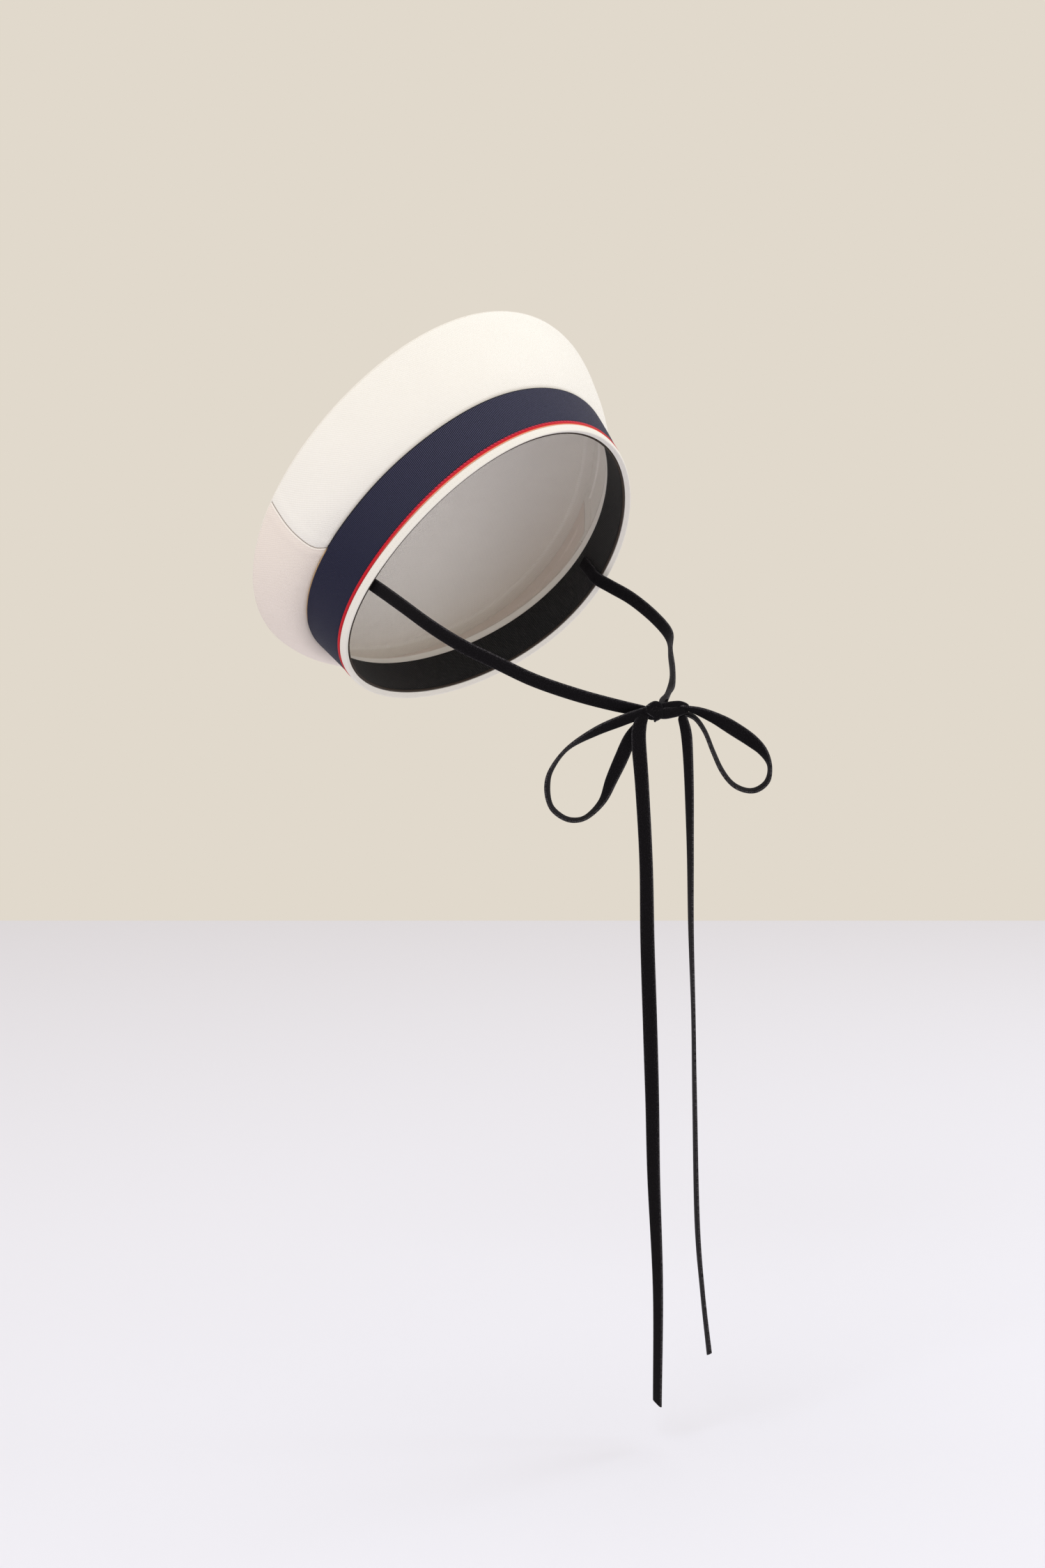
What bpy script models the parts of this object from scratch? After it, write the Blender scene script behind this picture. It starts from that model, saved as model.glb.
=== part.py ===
"""Sailor cap with velvet ties, each piece a closed solid, in metres with +Z up.

The wearer faces -Y and the wearer's left is +X. The cap sits tilted back on the head, and its
two ribbons run down past the cheeks to a bow at the throat and hang straight from it. The
origin is the middle of the opening that the head goes into, in the plane of the hem.
"""
from math import cos, degrees, radians, sin

import bmesh
import bpy
import numpy as np

# How the cap is worn
HEAD_TILT = 48.8                # degrees that the cap is tilted back about the wearer's left
GAP = 0.0003                    # clearance between pieces that touch

# Head band: an oval, measured on its outer face at the hem
HEM_HALF_LENGTH = 0.0980        # front to back
HEM_HALF_WIDTH = 0.0865         # side to side
HEM_EGG = 0.08                  # share by which the oval is wider behind than in front
HEM_SADDLE = 0.0026             # the hem rises so much at front and back, and dips at the sides
BAND_FLARE_ENDS = 0.0027        # the band leans out so much at front and back, up to its top
BAND_FLARE_SIDES = 0.0080       # and so much at the sides
BAND_THICKNESS = 0.0016
HEM_HEIGHT = 0.0046             # the rolled lower edge
HEM_PROUD = 0.0003              # how far the roll stands past the ribbon's face
HEM_ROLL = (                    # the roll's section, as shares of its depth and its height
    (0.0, 0.22),
    (0.15, 0.04),
    (0.59, 0.0),
    (0.91, 0.15),
    (1.0, 0.5),
    (0.94, 0.85),
    (0.75, 1.0),
)

# What is sewn to the band
EDGE_HEIGHT = 0.0024            # red stripe
EDGE_PROUD = 0.0002             # how far the stripe stands past the ribbon's face
RIBBON_HEIGHT = 0.0244
RIBBON_THICKNESS = 0.0010
STRIP_CORNER = 0.3              # share of a strip's thickness cut off its outer corners
SWEAT_THICKNESS = 0.0010        # inside band
SWEAT_HEIGHT = 0.0250
SWEAT_LIFT = 0.0008             # its lower edge above the hem's

# Crown: a wall in two panels that leans out from the band, and a top
CROWN_THICKNESS = 0.0018
CROWN_OUT_ENDS = 0.0115         # how far the widest line stands out past the band's top
CROWN_OUT_SIDES = 0.0212
CROWN_RISE = 0.0306             # widest line above the band's top, at the sides
CROWN_SLOPE = 0.171             # the widest line climbs towards the front by this share
CROWN_EGG = 0.110
CROWN_SADDLE = 0.0019
WALL_TUCK = 0.0008              # the wall's foot sits so far inside the ribbon's face
WALL_BULGE_OUT = 0.0038         # how far the wall's curve is pulled out of its straight line
WALL_BULGE_DOWN = 0.0184
SEAM_ANGLE = 93.0               # degrees from the front to each side seam
TOP_THICKNESS = 0.0016
TOP_DOME = 0.0110               # rise of the top over its whole width
TOP_SHOULDER = 0.0040           # and its quick rise just inside the seam
SHOULDER_POWER = 8              # how tightly that rise keeps to the seam

# Velvet ribbon of the ties and the bow
VELVET_WIDTH = 0.0076
VELVET_THICKNESS = 0.0012
VELVET_ROUNDING = 0.0004        # how far the cut corners of its section reach in

# Grid of the meshes
RING_STEPS = 80
WALL_ROWS = 8
TOP_ROWS = 7
TOP_CROWDING = 1.6              # power that crowds the top's rings towards its seam
ROUTE_STEPS = 12                # points of the smooth curve between two rows of a route
SLOPE_STEP = 0.001              # small change of angle or share that a slope is taken over

# Ribbon of each tie, from where it is sewn inside the band to the knot, wearer's left side:
# x, y, z in millimetres, the share of the ribbon's width and the turn of its face in degrees
TIE_ROUTE = (
    (86.0, 19.9, 3.8, 1.0, 0),
    (83.6, 11.2, -1.5, 1.0, 0),
    (81.8, 4.4, -5.3, 1.0, 0),
    (82.3, -6.5, -9.6, 1.0, 0),
    (83.3, -22.8, -16.2, 1.0, 0),
    (81.5, -42.5, -26.0, 1.0, 0),
    (75.8, -59.3, -35.1, 1.0, 0),
    (63.4, -72.4, -43.8, 1.0, 0),
    (50.5, -86.6, -52.7, 1.0, 0),
)
TIE_END_RIGHT = (
    (33.7, -101.4, -60.4, 1.0, 0),
    (17.2, -113.4, -65.9, 0.95, 0),
    (3.1, -118.5, -69.1, 0.8, 0),
)
TIE_END_LEFT = (
    (33.7, -101.4, -60.4, 1.0, -18),
    (18.5, -112.9, -63.0, 1.0, -26),
    (6.4, -124.1, -65.3, 0.8, -14),
)
FACE_CENTRE = (0.0, -38.0, -22.0)       # the ties turn their faces away from here, millimetres

# The bow, in millimetres from the middle of its knot: across, out towards the viewer of the
# bow, up, the turn of the ribbon's face towards that viewer in degrees, and the width share
KNOT = (0.0, -0.1230, -0.0690)
BOW_TURN = -32.0                # degrees that the bow is turned to the wearer's right
LOOP_RIGHT_ROUTE = (
    (-4.8, 1.6, -0.4, 78, 0.75),
    (-16.8, 3.0, -4.2, 62, 0.9),
    (-31.5, 2.8, -10.0, 42, 1.0),
    (-45.7, 1.6, -18.5, 20, 1.0),
    (-54.0, 0.6, -29.3, 24, 1.0),
    (-56.1, 0.0, -38.5, 29, 1.0),
    (-54.2, -0.4, -48.1, 22, 1.0),
    (-48.6, -0.6, -53.7, 16, 1.0),
    (-42.0, -0.8, -55.9, 9, 1.0),
    (-34.7, -1.0, -54.1, 3, 1.0),
    (-26.8, -1.2, -46.3, 13, 1.0),
    (-22.0, -1.2, -35.3, 39, 1.0),
    (-17.1, -1.2, -24.7, 56, 1.0),
    (-12.0, -1.2, -13.6, 70, 0.9),
    (-5.4, -0.6, -4.6, 84, 0.6),
)
LOOP_LEFT_ROUTE = (
    (17.1, 1.2, 1.4, 28, 0.65),
    (24.4, 1.6, -0.7, 38, 0.9),
    (33.7, 1.6, -4.8, 52, 1.0),
    (42.8, 1.2, -10.1, 74, 1.0),
    (51.8, 0.6, -16.1, 57, 1.0),
    (58.2, 0.2, -22.1, 27, 1.0),
    (61.9, 0.0, -29.6, -2, 1.0),
    (60.9, -0.2, -37.2, 0, 1.0),
    (55.6, -0.4, -41.7, 6, 1.0),
    (49.4, -0.6, -42.1, 12, 1.0),
    (42.3, -0.8, -38.7, 18, 1.0),
    (36.5, -1.0, -31.5, 22, 1.0),
    (31.9, -1.2, -21.8, 22, 1.0),
    (27.6, -1.6, -11.4, 22, 0.95),
    (22.6, -1.8, -4.4, 26, 0.75),
    (17.1, -1.6, -1.6, 30, 0.55),
)
TAIL_RIGHT_ROUTE = (
    (-4.8, 3.4, -4.2, 80, 0.85),
    (-8.8, 3.8, -14.0, 72, 1.0),
    (-7.0, 4.0, -39.5, 56, 1.0),
    (-4.7, 3.6, -78.0, 51, 1.0),
    (-3.6, 2.8, -120.0, 62, 1.0),
    (-1.8, 2.0, -165.0, 68, 1.0),
    (-0.3, 1.2, -205.0, 57, 1.0),
    (0.8, 0.6, -245.0, 47, 1.0),
    (3.4, 0.2, -305.0, 28, 1.0),
    (3.4, 0.0, -366.2, 20, 1.0),
)
TAIL_LEFT_ROUTE = (
    (15.2, 0.4, -4.0, 46, 0.75),
    (17.1, 0.4, -11.9, 36, 0.95),
    (18.2, 0.0, -24.0, 26, 1.0),
    (19.0, -0.2, -42.0, 20, 1.0),
    (19.8, -0.4, -75.0, 9, 1.0),
    (20.4, -0.4, -115.0, 2, 1.0),
    (21.9, -0.4, -160.0, -4, 1.0),
    (22.8, -0.2, -205.0, -2, 1.0),
    (24.5, 0.0, -270.0, 1, 1.0),
    (27.6, 0.2, -308.0, -1, 1.0),
    (31.4, 0.4, -341.0, 2, 1.0),
)
TIE_STEPS = 18
LOOP_STEPS = 30
TAIL_STEPS = 20

# The knot, lofted along the bow: its lump lies over the middle, its wrapped strands beside it
KNOT_START = -0.0042            # across the bow, from the middle of the knot
KNOT_LENGTH = 0.0208
KNOT_HALF_HEIGHT = 0.0053
KNOT_HALF_DEPTH = 0.0034
KNOT_SECTIONS = (               # shares of its length, half height and half depth
    (0.0, 0.42, 0.41),
    (0.05, 0.79, 0.76),
    (0.17, 1.0, 1.0),
    (0.31, 0.92, 0.94),
    (0.41, 0.66, 0.76),
    (0.62, 0.60, 0.65),
    (0.86, 0.66, 0.65),
    (1.0, 0.45, 0.41),
)
KNOT_SIDES = 12

CREAM = (0.86, 0.82, 0.75)
HEM_CREAM = (0.84, 0.80, 0.73)
NAVY = (0.030, 0.036, 0.075)
RED = (0.62, 0.035, 0.030)
BAND_BLACK = (0.012, 0.012, 0.014)
VELVET_BLACK = (0.010, 0.010, 0.012)

MILLIMETRE = 0.001


def band_height():
    """Height of the head band: the hem, the stripe and the ribbon above it."""
    return HEM_HEIGHT + GAP + EDGE_HEIGHT + GAP + RIBBON_HEIGHT


def unit(vectors):
    """Scales vectors to a length of one."""
    return vectors / np.linalg.norm(vectors, axis=-1, keepdims=True)


def oval(angle, half_length, half_width, egg, outward=0.0):
    """Points of an egg-shaped oval at angles from the front, moved out along its normal."""
    def plan(turn):
        ahead = np.cos(turn)
        aside = np.sin(turn)
        radius = 1.0 / np.hypot(ahead / half_length, aside / half_width)
        return np.stack([radius * aside * (1.0 - egg * ahead), -radius * ahead], axis=-1)

    along = unit(plan(angle + SLOPE_STEP) - plan(angle - SLOPE_STEP))
    normal = np.stack([along[..., 1], -along[..., 0]], axis=-1)
    return plan(angle) + normal * np.asarray(outward)[..., None]


def with_height(plan, height):
    """Joins plan points and their heights to points in space."""
    return np.concatenate([plan, np.broadcast_to(height, plan.shape[:-1])[..., None]], axis=-1)


def band_point(angle, height, outward):
    """A point of the head band at a height above the hem and out from its outer face."""
    share = height / band_height()
    plan = oval(
        angle,
        HEM_HALF_LENGTH + BAND_FLARE_ENDS * share,
        HEM_HALF_WIDTH + BAND_FLARE_SIDES * share,
        HEM_EGG,
        outward,
    )
    return with_height(plan, height + HEM_SADDLE * np.cos(2.0 * angle))


def rim_point(angle, share=1.0):
    """A point of the crown's widest line, or inside it at a share of its size."""
    plan = oval(
        angle,
        HEM_HALF_LENGTH + BAND_FLARE_ENDS + CROWN_OUT_ENDS,
        HEM_HALF_WIDTH + BAND_FLARE_SIDES + CROWN_OUT_SIDES,
        CROWN_EGG,
    ) * np.asarray(share)[..., None]
    level = band_height() + CROWN_RISE - CROWN_SLOPE * plan[..., 1]
    return with_height(plan, level + CROWN_SADDLE * np.cos(2.0 * angle) * share ** 2)


def wall_face(angle, share):
    """The wall's outer face: a bulging curve from the band's top to the crown's widest line."""
    foot = band_point(angle, np.full_like(angle, band_height() + GAP), -WALL_TUCK)
    rim = rim_point(angle, np.ones_like(angle))
    out = unit(rim * (1.0, 1.0, 0.0))
    pull = 0.5 * (foot + rim) + 0.5 * (out * WALL_BULGE_OUT - np.array((0, 0, WALL_BULGE_DOWN)))
    share = share[..., None]
    return (1 - share) ** 2 * foot + 2 * share * (1 - share) * pull + share ** 2 * rim


def wall_grids(angles):
    """Outer and inner face of the wall over a run of angles, as rows from foot to rim."""
    share, angle = np.meshgrid(np.linspace(0.0, 1.0, WALL_ROWS + 1), angles, indexing="ij")
    outer = wall_face(angle, share)
    across = wall_face(angle + SLOPE_STEP, share) - wall_face(angle - SLOPE_STEP, share)
    upward = wall_face(angle, share + SLOPE_STEP) - wall_face(angle, share - SLOPE_STEP)
    return outer, outer - unit(np.cross(across, upward)) * CROWN_THICKNESS


def new_object(name, vertices, faces, colour, roughness, parent):
    """Makes a closed, smooth-shaded object of its own material from vertices and faces."""
    mesh = bpy.data.meshes.new(name)
    mesh.from_pydata([tuple(map(float, vertex)) for vertex in vertices], [], faces)
    work = bmesh.new()
    work.from_mesh(mesh)
    bmesh.ops.recalc_face_normals(work, faces=work.faces)
    work.to_mesh(mesh)
    work.free()
    mesh.shade_smooth()
    mesh.set_sharp_from_angle(angle=radians(40))
    material = bpy.data.materials.new(name)
    material.use_nodes = True
    shader = material.node_tree.nodes["Principled BSDF"]
    shader.inputs["Base Color"].default_value = (*colour, 1.0)
    shader.inputs["Roughness"].default_value = roughness
    shader.inputs["Metallic"].default_value = 0.0
    mesh.materials.append(material)
    piece = bpy.data.objects.new(name, mesh)
    piece.parent = parent
    bpy.context.scene.collection.objects.link(piece)
    return piece


def tube_faces(rings, sides):
    """Quads between closed rings of a number of sides, listed ring after ring."""
    return [
        (ring * sides + side, ring * sides + (side + 1) % sides,
         (ring + 1) * sides + (side + 1) % sides, (ring + 1) * sides + side)
        for ring in range(rings - 1) for side in range(sides)
    ]


def add_band(name, section, colour, roughness, parent):
    """A ring round the head whose closed section holds heights and outward distances."""
    angles = np.linspace(0.0, 2.0 * np.pi, RING_STEPS, endpoint=False)
    outward, height = np.array(section).T
    rings = [band_point(np.full(len(section), angle), height, outward) for angle in angles]
    sides = len(section)
    faces = tube_faces(RING_STEPS, sides)
    last = (RING_STEPS - 1) * sides
    for side in range(sides):
        following = (side + 1) % sides
        faces.append((last + side, last + following, following, side))
    return new_object(name, np.concatenate(rings), faces, colour, roughness, parent)


def add_panel(name, first_angle, last_angle, parent):
    """One panel of the crown's wall between two side seams."""
    columns = round(RING_STEPS * (last_angle - first_angle) / 360.0) + 1
    outer, inner = wall_grids(np.radians(np.linspace(first_angle, last_angle, columns)))
    loops = np.concatenate([outer, inner[::-1]], axis=0).transpose(1, 0, 2)
    sides = loops.shape[1]
    faces = tube_faces(columns, sides)
    for start in (0, (columns - 1) * sides):
        for row in range(WALL_ROWS):
            faces.append((start + row, start + row + 1,
                          start + sides - 2 - row, start + sides - 1 - row))
    return new_object(name, loops.reshape(-1, 3), faces, CREAM, 0.85, parent)


def add_top(parent):
    """The crown's top: a low dome with a quick shoulder, resting on the wall's upper edge."""
    angles = np.linspace(0.0, 2.0 * np.pi, RING_STEPS, endpoint=False)
    shares = 1.0 - np.linspace(0.0, 1.0, TOP_ROWS + 1)[:-1] ** TOP_CROWDING
    share, angle = np.meshgrid(shares, angles, indexing="ij")
    under = rim_point(angle, share)
    shoulder = TOP_SHOULDER * (1 - share ** SHOULDER_POWER)
    under[..., 2] += GAP + TOP_DOME * (1 - share ** 2) + shoulder
    lift = np.array((0.0, 0.0, TOP_THICKNESS))
    middle = np.array((0.0, 0.0, band_height() + CROWN_RISE + GAP + TOP_DOME + TOP_SHOULDER))
    rings = np.concatenate([under[::-1], under + lift])
    faces = tube_faces(2 * TOP_ROWS, RING_STEPS)
    low = rings.shape[0] * RING_STEPS
    high = low + 1
    last = (2 * TOP_ROWS - 1) * RING_STEPS
    for step in range(RING_STEPS):
        following = (step + 1) % RING_STEPS
        faces.append((following, step, low))
        faces.append((last + step, last + following, high))
    vertices = np.concatenate([rings.reshape(-1, 3), middle[None], (middle + lift)[None]])
    return new_object("crown_top", vertices, faces, CREAM, 0.85, parent)


def smooth_rows(rows, steps):
    """Reads a smooth curve through the rows of a table, evenly spaced along its length."""
    rows = np.array(rows, dtype=float)
    rows = np.vstack([2 * rows[0] - rows[1], rows, 2 * rows[-1] - rows[-2]])
    share = np.linspace(0.0, 1.0, ROUTE_STEPS, endpoint=False)[:, None]
    pieces = []
    for before, start, end, after in zip(rows, rows[1:], rows[2:], rows[3:]):
        pieces.append(
            start + 0.5 * share * (end - before)
            + share ** 2 * (before - 2.5 * start + 2 * end - 0.5 * after)
            + share ** 3 * (1.5 * (start - end) + 0.5 * (after - before))
        )
    fine = np.vstack([*pieces, rows[-2:-1]])
    length = np.append(0.0, np.cumsum(np.linalg.norm(np.diff(fine[:, :3], axis=0), axis=1)))
    even = np.linspace(0.0, length[-1], steps + 1)
    return np.stack([np.interp(even, length, column) for column in fine.T], axis=1)


def add_ribbon(name, centres, faces_to, width_shares):
    """A flat velvet ribbon along centres, its face turned to given directions."""
    along = unit(np.gradient(centres, axis=0))
    face = unit(faces_to - along * np.sum(faces_to * along, axis=1, keepdims=True))
    across = np.cross(along, face)
    half_width = 0.5 * VELVET_WIDTH
    half_depth = 0.5 * VELVET_THICKNESS
    corner = VELVET_ROUNDING
    section = [
        (half_width, half_depth - corner), (half_width - corner, half_depth),
        (corner - half_width, half_depth), (-half_width, half_depth - corner),
        (-half_width, corner - half_depth), (corner - half_width, -half_depth),
        (half_width - corner, -half_depth), (half_width, corner - half_depth),
    ]
    rings = np.stack([
        centres + across * (aside * width_shares)[:, None] + face * depth
        for aside, depth in section
    ], axis=1)
    faces = tube_faces(len(centres), len(section))
    last = (len(centres) - 1) * len(section)
    faces.append(tuple(range(len(section))))
    faces.append(tuple(range(last, last + len(section))))
    return new_object(name, rings.reshape(-1, 3), faces, VELVET_BLACK, 0.95, None)


def add_tie(name, side, end):
    """A tie from inside the band to the knot; side is 1 for the wearer's left, -1 for right."""
    rows = smooth_rows(TIE_ROUTE + end, TIE_STEPS)
    centres = rows[:, :3] * MILLIMETRE
    outward = centres - np.array(FACE_CENTRE) * MILLIMETRE
    along = unit(np.gradient(centres, axis=0))
    face = unit(outward - along * np.sum(outward * along, axis=1, keepdims=True))
    turn = np.radians(rows[:, 4])[:, None]
    face = face * np.cos(turn) + np.cross(along, face) * np.sin(turn)
    mirror = np.array((side, 1.0, 1.0))
    return add_ribbon(name, centres * mirror, face * mirror, rows[:, 3])


def bow_axes():
    """The bow's own directions: across, towards its viewer and up."""
    turn = radians(BOW_TURN)
    return np.array(((cos(turn), sin(turn), 0.0), (sin(turn), -cos(turn), 0.0), (0.0, 0.0, 1.0)))


def add_bow_ribbon(name, route, steps, outer_side):
    """A loop or a tail of the bow; outer_side says on which side its outer face lies."""
    rows = smooth_rows(route, steps)
    axes = bow_axes()
    centres = np.array(KNOT) + rows[:, :3] * MILLIMETRE @ axes
    along = unit(np.gradient(centres, axis=0))
    viewer = unit(axes[1] - along * np.sum(along * axes[1], axis=1, keepdims=True))
    outer = outer_side * np.cross(along, viewer)
    turn = np.radians(rows[:, 3])[:, None]
    return add_ribbon(name, centres, outer * np.cos(turn) + viewer * np.sin(turn), rows[:, 4])


def add_knot():
    """The knot: oval sections along the bow, closed by a point at each end."""
    axes = bow_axes()
    turns = np.linspace(0.0, 2.0 * np.pi, KNOT_SIDES, endpoint=False)
    rings = [
        np.stack([np.full(KNOT_SIDES, KNOT_START + KNOT_LENGTH * along),
                  KNOT_HALF_DEPTH * depth * np.cos(turns),
                  KNOT_HALF_HEIGHT * height * np.sin(turns)], axis=1)
        for along, height, depth in KNOT_SECTIONS
    ]
    vertices = np.array(KNOT) + np.concatenate(rings) @ axes
    faces = tube_faces(len(rings), KNOT_SIDES)
    last = (len(rings) - 1) * KNOT_SIDES
    faces.append(tuple(range(KNOT_SIDES)))
    faces.append(tuple(range(last, last + KNOT_SIDES)))
    return new_object("bow_knot", vertices, faces, VELVET_BLACK, 0.95, None)


def head_band_section():
    """Section of the band: a wall with its lower edge rolled outwards into the hem."""
    back = -(RIBBON_THICKNESS + GAP)
    inner = back - BAND_THICKNESS
    roll = [
        (inner + (HEM_PROUD - inner) * depth, HEM_HEIGHT * height) for depth, height in HEM_ROLL
    ]
    return roll + [(back, HEM_HEIGHT), (back, band_height()), (inner, band_height())]


def strip_section(foot, height, outer):
    """Section of a strip on the band, from its foot up, with its outer corners cut."""
    corner = STRIP_CORNER * RIBBON_THICKNESS
    inner = -RIBBON_THICKNESS
    return [
        (inner, foot), (outer - corner, foot), (outer, foot + corner),
        (outer, foot + height - corner), (outer - corner, foot + height), (inner, foot + height),
    ]


def sweat_band_section():
    """Section of the inside band, which lies against the head band."""
    outer = -(RIBBON_THICKNESS + GAP + BAND_THICKNESS + GAP)
    inner = outer - SWEAT_THICKNESS
    foot = SWEAT_LIFT
    return [(inner, foot), (outer, foot), (outer, foot + SWEAT_HEIGHT), (inner, foot + SWEAT_HEIGHT)]


def main():
    for old in list(bpy.data.objects):
        bpy.data.objects.remove(old)

    cap = bpy.data.objects.new("cap", None)
    cap.rotation_euler = (-radians(HEAD_TILT), 0.0, 0.0)
    bpy.context.scene.collection.objects.link(cap)

    edge_foot = HEM_HEIGHT + GAP
    ribbon_foot = edge_foot + EDGE_HEIGHT + GAP
    add_band("head_band", head_band_section(), HEM_CREAM, 0.85, cap)
    add_band("red_edge", strip_section(edge_foot, EDGE_HEIGHT, EDGE_PROUD), RED, 0.7, cap)
    add_band("navy_ribbon", strip_section(ribbon_foot, RIBBON_HEIGHT, 0.0), NAVY, 0.6, cap)
    add_band("sweat_band", sweat_band_section(), BAND_BLACK, 0.9, cap)

    half_seam = degrees(0.5 * GAP / (HEM_HALF_WIDTH + BAND_FLARE_SIDES))
    add_panel("crown_front", -SEAM_ANGLE + half_seam, SEAM_ANGLE - half_seam, cap)
    add_panel("crown_back", SEAM_ANGLE + half_seam, 360.0 - SEAM_ANGLE - half_seam, cap)
    add_top(cap)

    add_tie("tie_right", -1.0, TIE_END_RIGHT)
    add_tie("tie_left", 1.0, TIE_END_LEFT)
    add_knot()
    add_bow_ribbon("loop_right", LOOP_RIGHT_ROUTE, LOOP_STEPS, -1.0)
    add_bow_ribbon("loop_left", LOOP_LEFT_ROUTE, LOOP_STEPS, 1.0)
    add_bow_ribbon("tail_right", TAIL_RIGHT_ROUTE, TAIL_STEPS, 1.0)
    add_bow_ribbon("tail_left", TAIL_LEFT_ROUTE, TAIL_STEPS, 1.0)


main()
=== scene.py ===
from math import cos, pi, radians, sin

import bpy
import numpy as np
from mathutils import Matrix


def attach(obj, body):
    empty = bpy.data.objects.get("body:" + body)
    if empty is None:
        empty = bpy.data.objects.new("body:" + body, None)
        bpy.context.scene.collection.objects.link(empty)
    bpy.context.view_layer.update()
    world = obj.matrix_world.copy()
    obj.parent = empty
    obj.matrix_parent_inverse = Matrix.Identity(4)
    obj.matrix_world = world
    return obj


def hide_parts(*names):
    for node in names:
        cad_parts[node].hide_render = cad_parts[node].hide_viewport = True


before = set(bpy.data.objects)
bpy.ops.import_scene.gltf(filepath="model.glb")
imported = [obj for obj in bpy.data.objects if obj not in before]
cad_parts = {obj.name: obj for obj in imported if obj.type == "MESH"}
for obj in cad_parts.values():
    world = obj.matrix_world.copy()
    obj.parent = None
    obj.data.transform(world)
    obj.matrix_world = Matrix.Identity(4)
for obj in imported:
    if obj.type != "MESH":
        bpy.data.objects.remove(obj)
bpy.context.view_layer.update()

millimetre = 0.001
print("frame loaded:", len(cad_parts), "nodes")


# A new object of some data, in the scene
def addObject(name, data):
    made = bpy.data.objects.new(name, data)
    bpy.context.scene.collection.objects.link(made)
    return made


# Camera at the angle of the photograph, with its frame of 1500 by 2250
cameraFacts = {
    "place": (-1.1172, -1.2337, 0.0473),
    "pitch": 84.406,  # degrees, 90 would be level
    "heading": -42.7,  # degrees from +Y, towards +X
    "lens": 70.24,  # millimetres, as the long side of the sensor
    "longSide": 36.0,
}


def makeCamera():
    data = bpy.data.cameras.new("camera")
    data.lens = cameraFacts["lens"]
    data.sensor_width = cameraFacts["longSide"]
    camera = addObject("camera", data)
    camera.location = cameraFacts["place"]
    camera.rotation_euler = (radians(cameraFacts["pitch"]), 0.0, radians(cameraFacts["heading"]))
    bpy.context.scene.camera = camera


makeCamera()
print("camera made")


# Arithmetic on shader sockets: a wire is one output of a node, and an expression adds Math nodes
class Wire:
    def __init__(self, tree, socket=None):
        self.tree = tree
        self.socket = socket

    # Adds any node: its settings first, then the values or links of its inputs
    def node(self, kind, settings=None, inputs=None, output=0):
        made = self.tree.nodes.new(kind)
        for name, value in (settings or {}).items():
            if name == "stops":
                ramp = made.color_ramp.elements
                while len(ramp) < len(value):
                    ramp.new(0.5)
                for stop, (position, colour) in zip(ramp, value):
                    stop.position = position
                    stop.color = (*colour, 1.0)
            else:
                setattr(made, name, value)
        for name, value in (inputs or {}).items():
            if isinstance(value, Wire):
                self.tree.links.new(value.socket, made.inputs[name])
            else:
                made.inputs[name].default_value = value
        return Wire(self.tree, made.outputs[output])

    # Adds a Math node for an operation on wires or numbers
    def reckon(self, operation, *values):
        return self.node("ShaderNodeMath", {"operation": operation}, dict(enumerate(values)))

    def __add__(self, other):
        return self.reckon("ADD", self, other)

    def __radd__(self, other):
        return self.reckon("ADD", other, self)

    def __sub__(self, other):
        return self.reckon("SUBTRACT", self, other)

    def __rsub__(self, other):
        return self.reckon("SUBTRACT", other, self)

    def __mul__(self, other):
        return self.reckon("MULTIPLY", self, other)

    def __rmul__(self, other):
        return self.reckon("MULTIPLY", other, self)

    def __truediv__(self, other):
        return self.reckon("DIVIDE", self, other)

    def __rtruediv__(self, other):
        return self.reckon("DIVIDE", other, self)

    def __pow__(self, other):
        return self.reckon("POWER", self, other)

    def __rpow__(self, other):
        return self.reckon("POWER", other, self)

    def size(self):  # the same value without its sign
        return self.reckon("ABSOLUTE", self)

    def wave(self):  # 0 in the furrow, 1 on the ridge, once for each step of one
        return self.reckon("SINE", self * (2 * pi)) * 0.5 + 0.5

    def step(self, low, high):  # smooth climb from 0 at low to 1 at high
        return self.node("ShaderNodeMapRange", {"interpolation_type": "SMOOTHSTEP"},
                         {"Value": self, "From Min": low, "From Max": high})

    def mixed(self, low, high):  # low colour where the wire is 0, high colour where it is 1
        settings = {"data_type": "RGBA", "clamp_factor": True}
        ends = {6: low if isinstance(low, Wire) else (*low, 1.0),
                7: high if isinstance(high, Wire) else (*high, 1.0)}
        return self.node("ShaderNodeMix", settings, {0: self, **ends}, output=2)

    def noise(self, scale, detail=2.0):  # cloudy value from 0 to 1, read at this place
        return self.node("ShaderNodeTexNoise", None,
                         {"Vector": self, "Scale": scale, "Detail": detail})


# A new material and the wires of its cloth coordinates: along, across and both, in millimetres
def newMaterial(name, facts):
    material = bpy.data.materials.new(name)
    material.use_nodes = True
    tree = material.node_tree
    shader = tree.nodes["Principled BSDF"]
    for socket, value in facts["shader"].items():
        shader.inputs[socket].default_value = value
    start = Wire(tree)
    cloth = start.node("ShaderNodeUVMap", {"uv_map": "cloth"})
    along = start.node("ShaderNodeSeparateXYZ", None, {"Vector": cloth}, output="X")
    across = start.node("ShaderNodeSeparateXYZ", None, {"Vector": cloth}, output="Y")
    return material, along, across, cloth


# Joins a colour to a material's shader, and a height through a bump of the relief's metres
def finished(material, colour, height, facts):
    tree = material.node_tree
    shader = tree.nodes["Principled BSDF"]
    bump = colour.node("ShaderNodeBump", None, {"Height": height, "Distance": facts["relief"]})
    tree.links.new(colour.socket, shader.inputs["Base Color"])
    tree.links.new(bump.socket, shader.inputs["Normal"])
    return material


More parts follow.
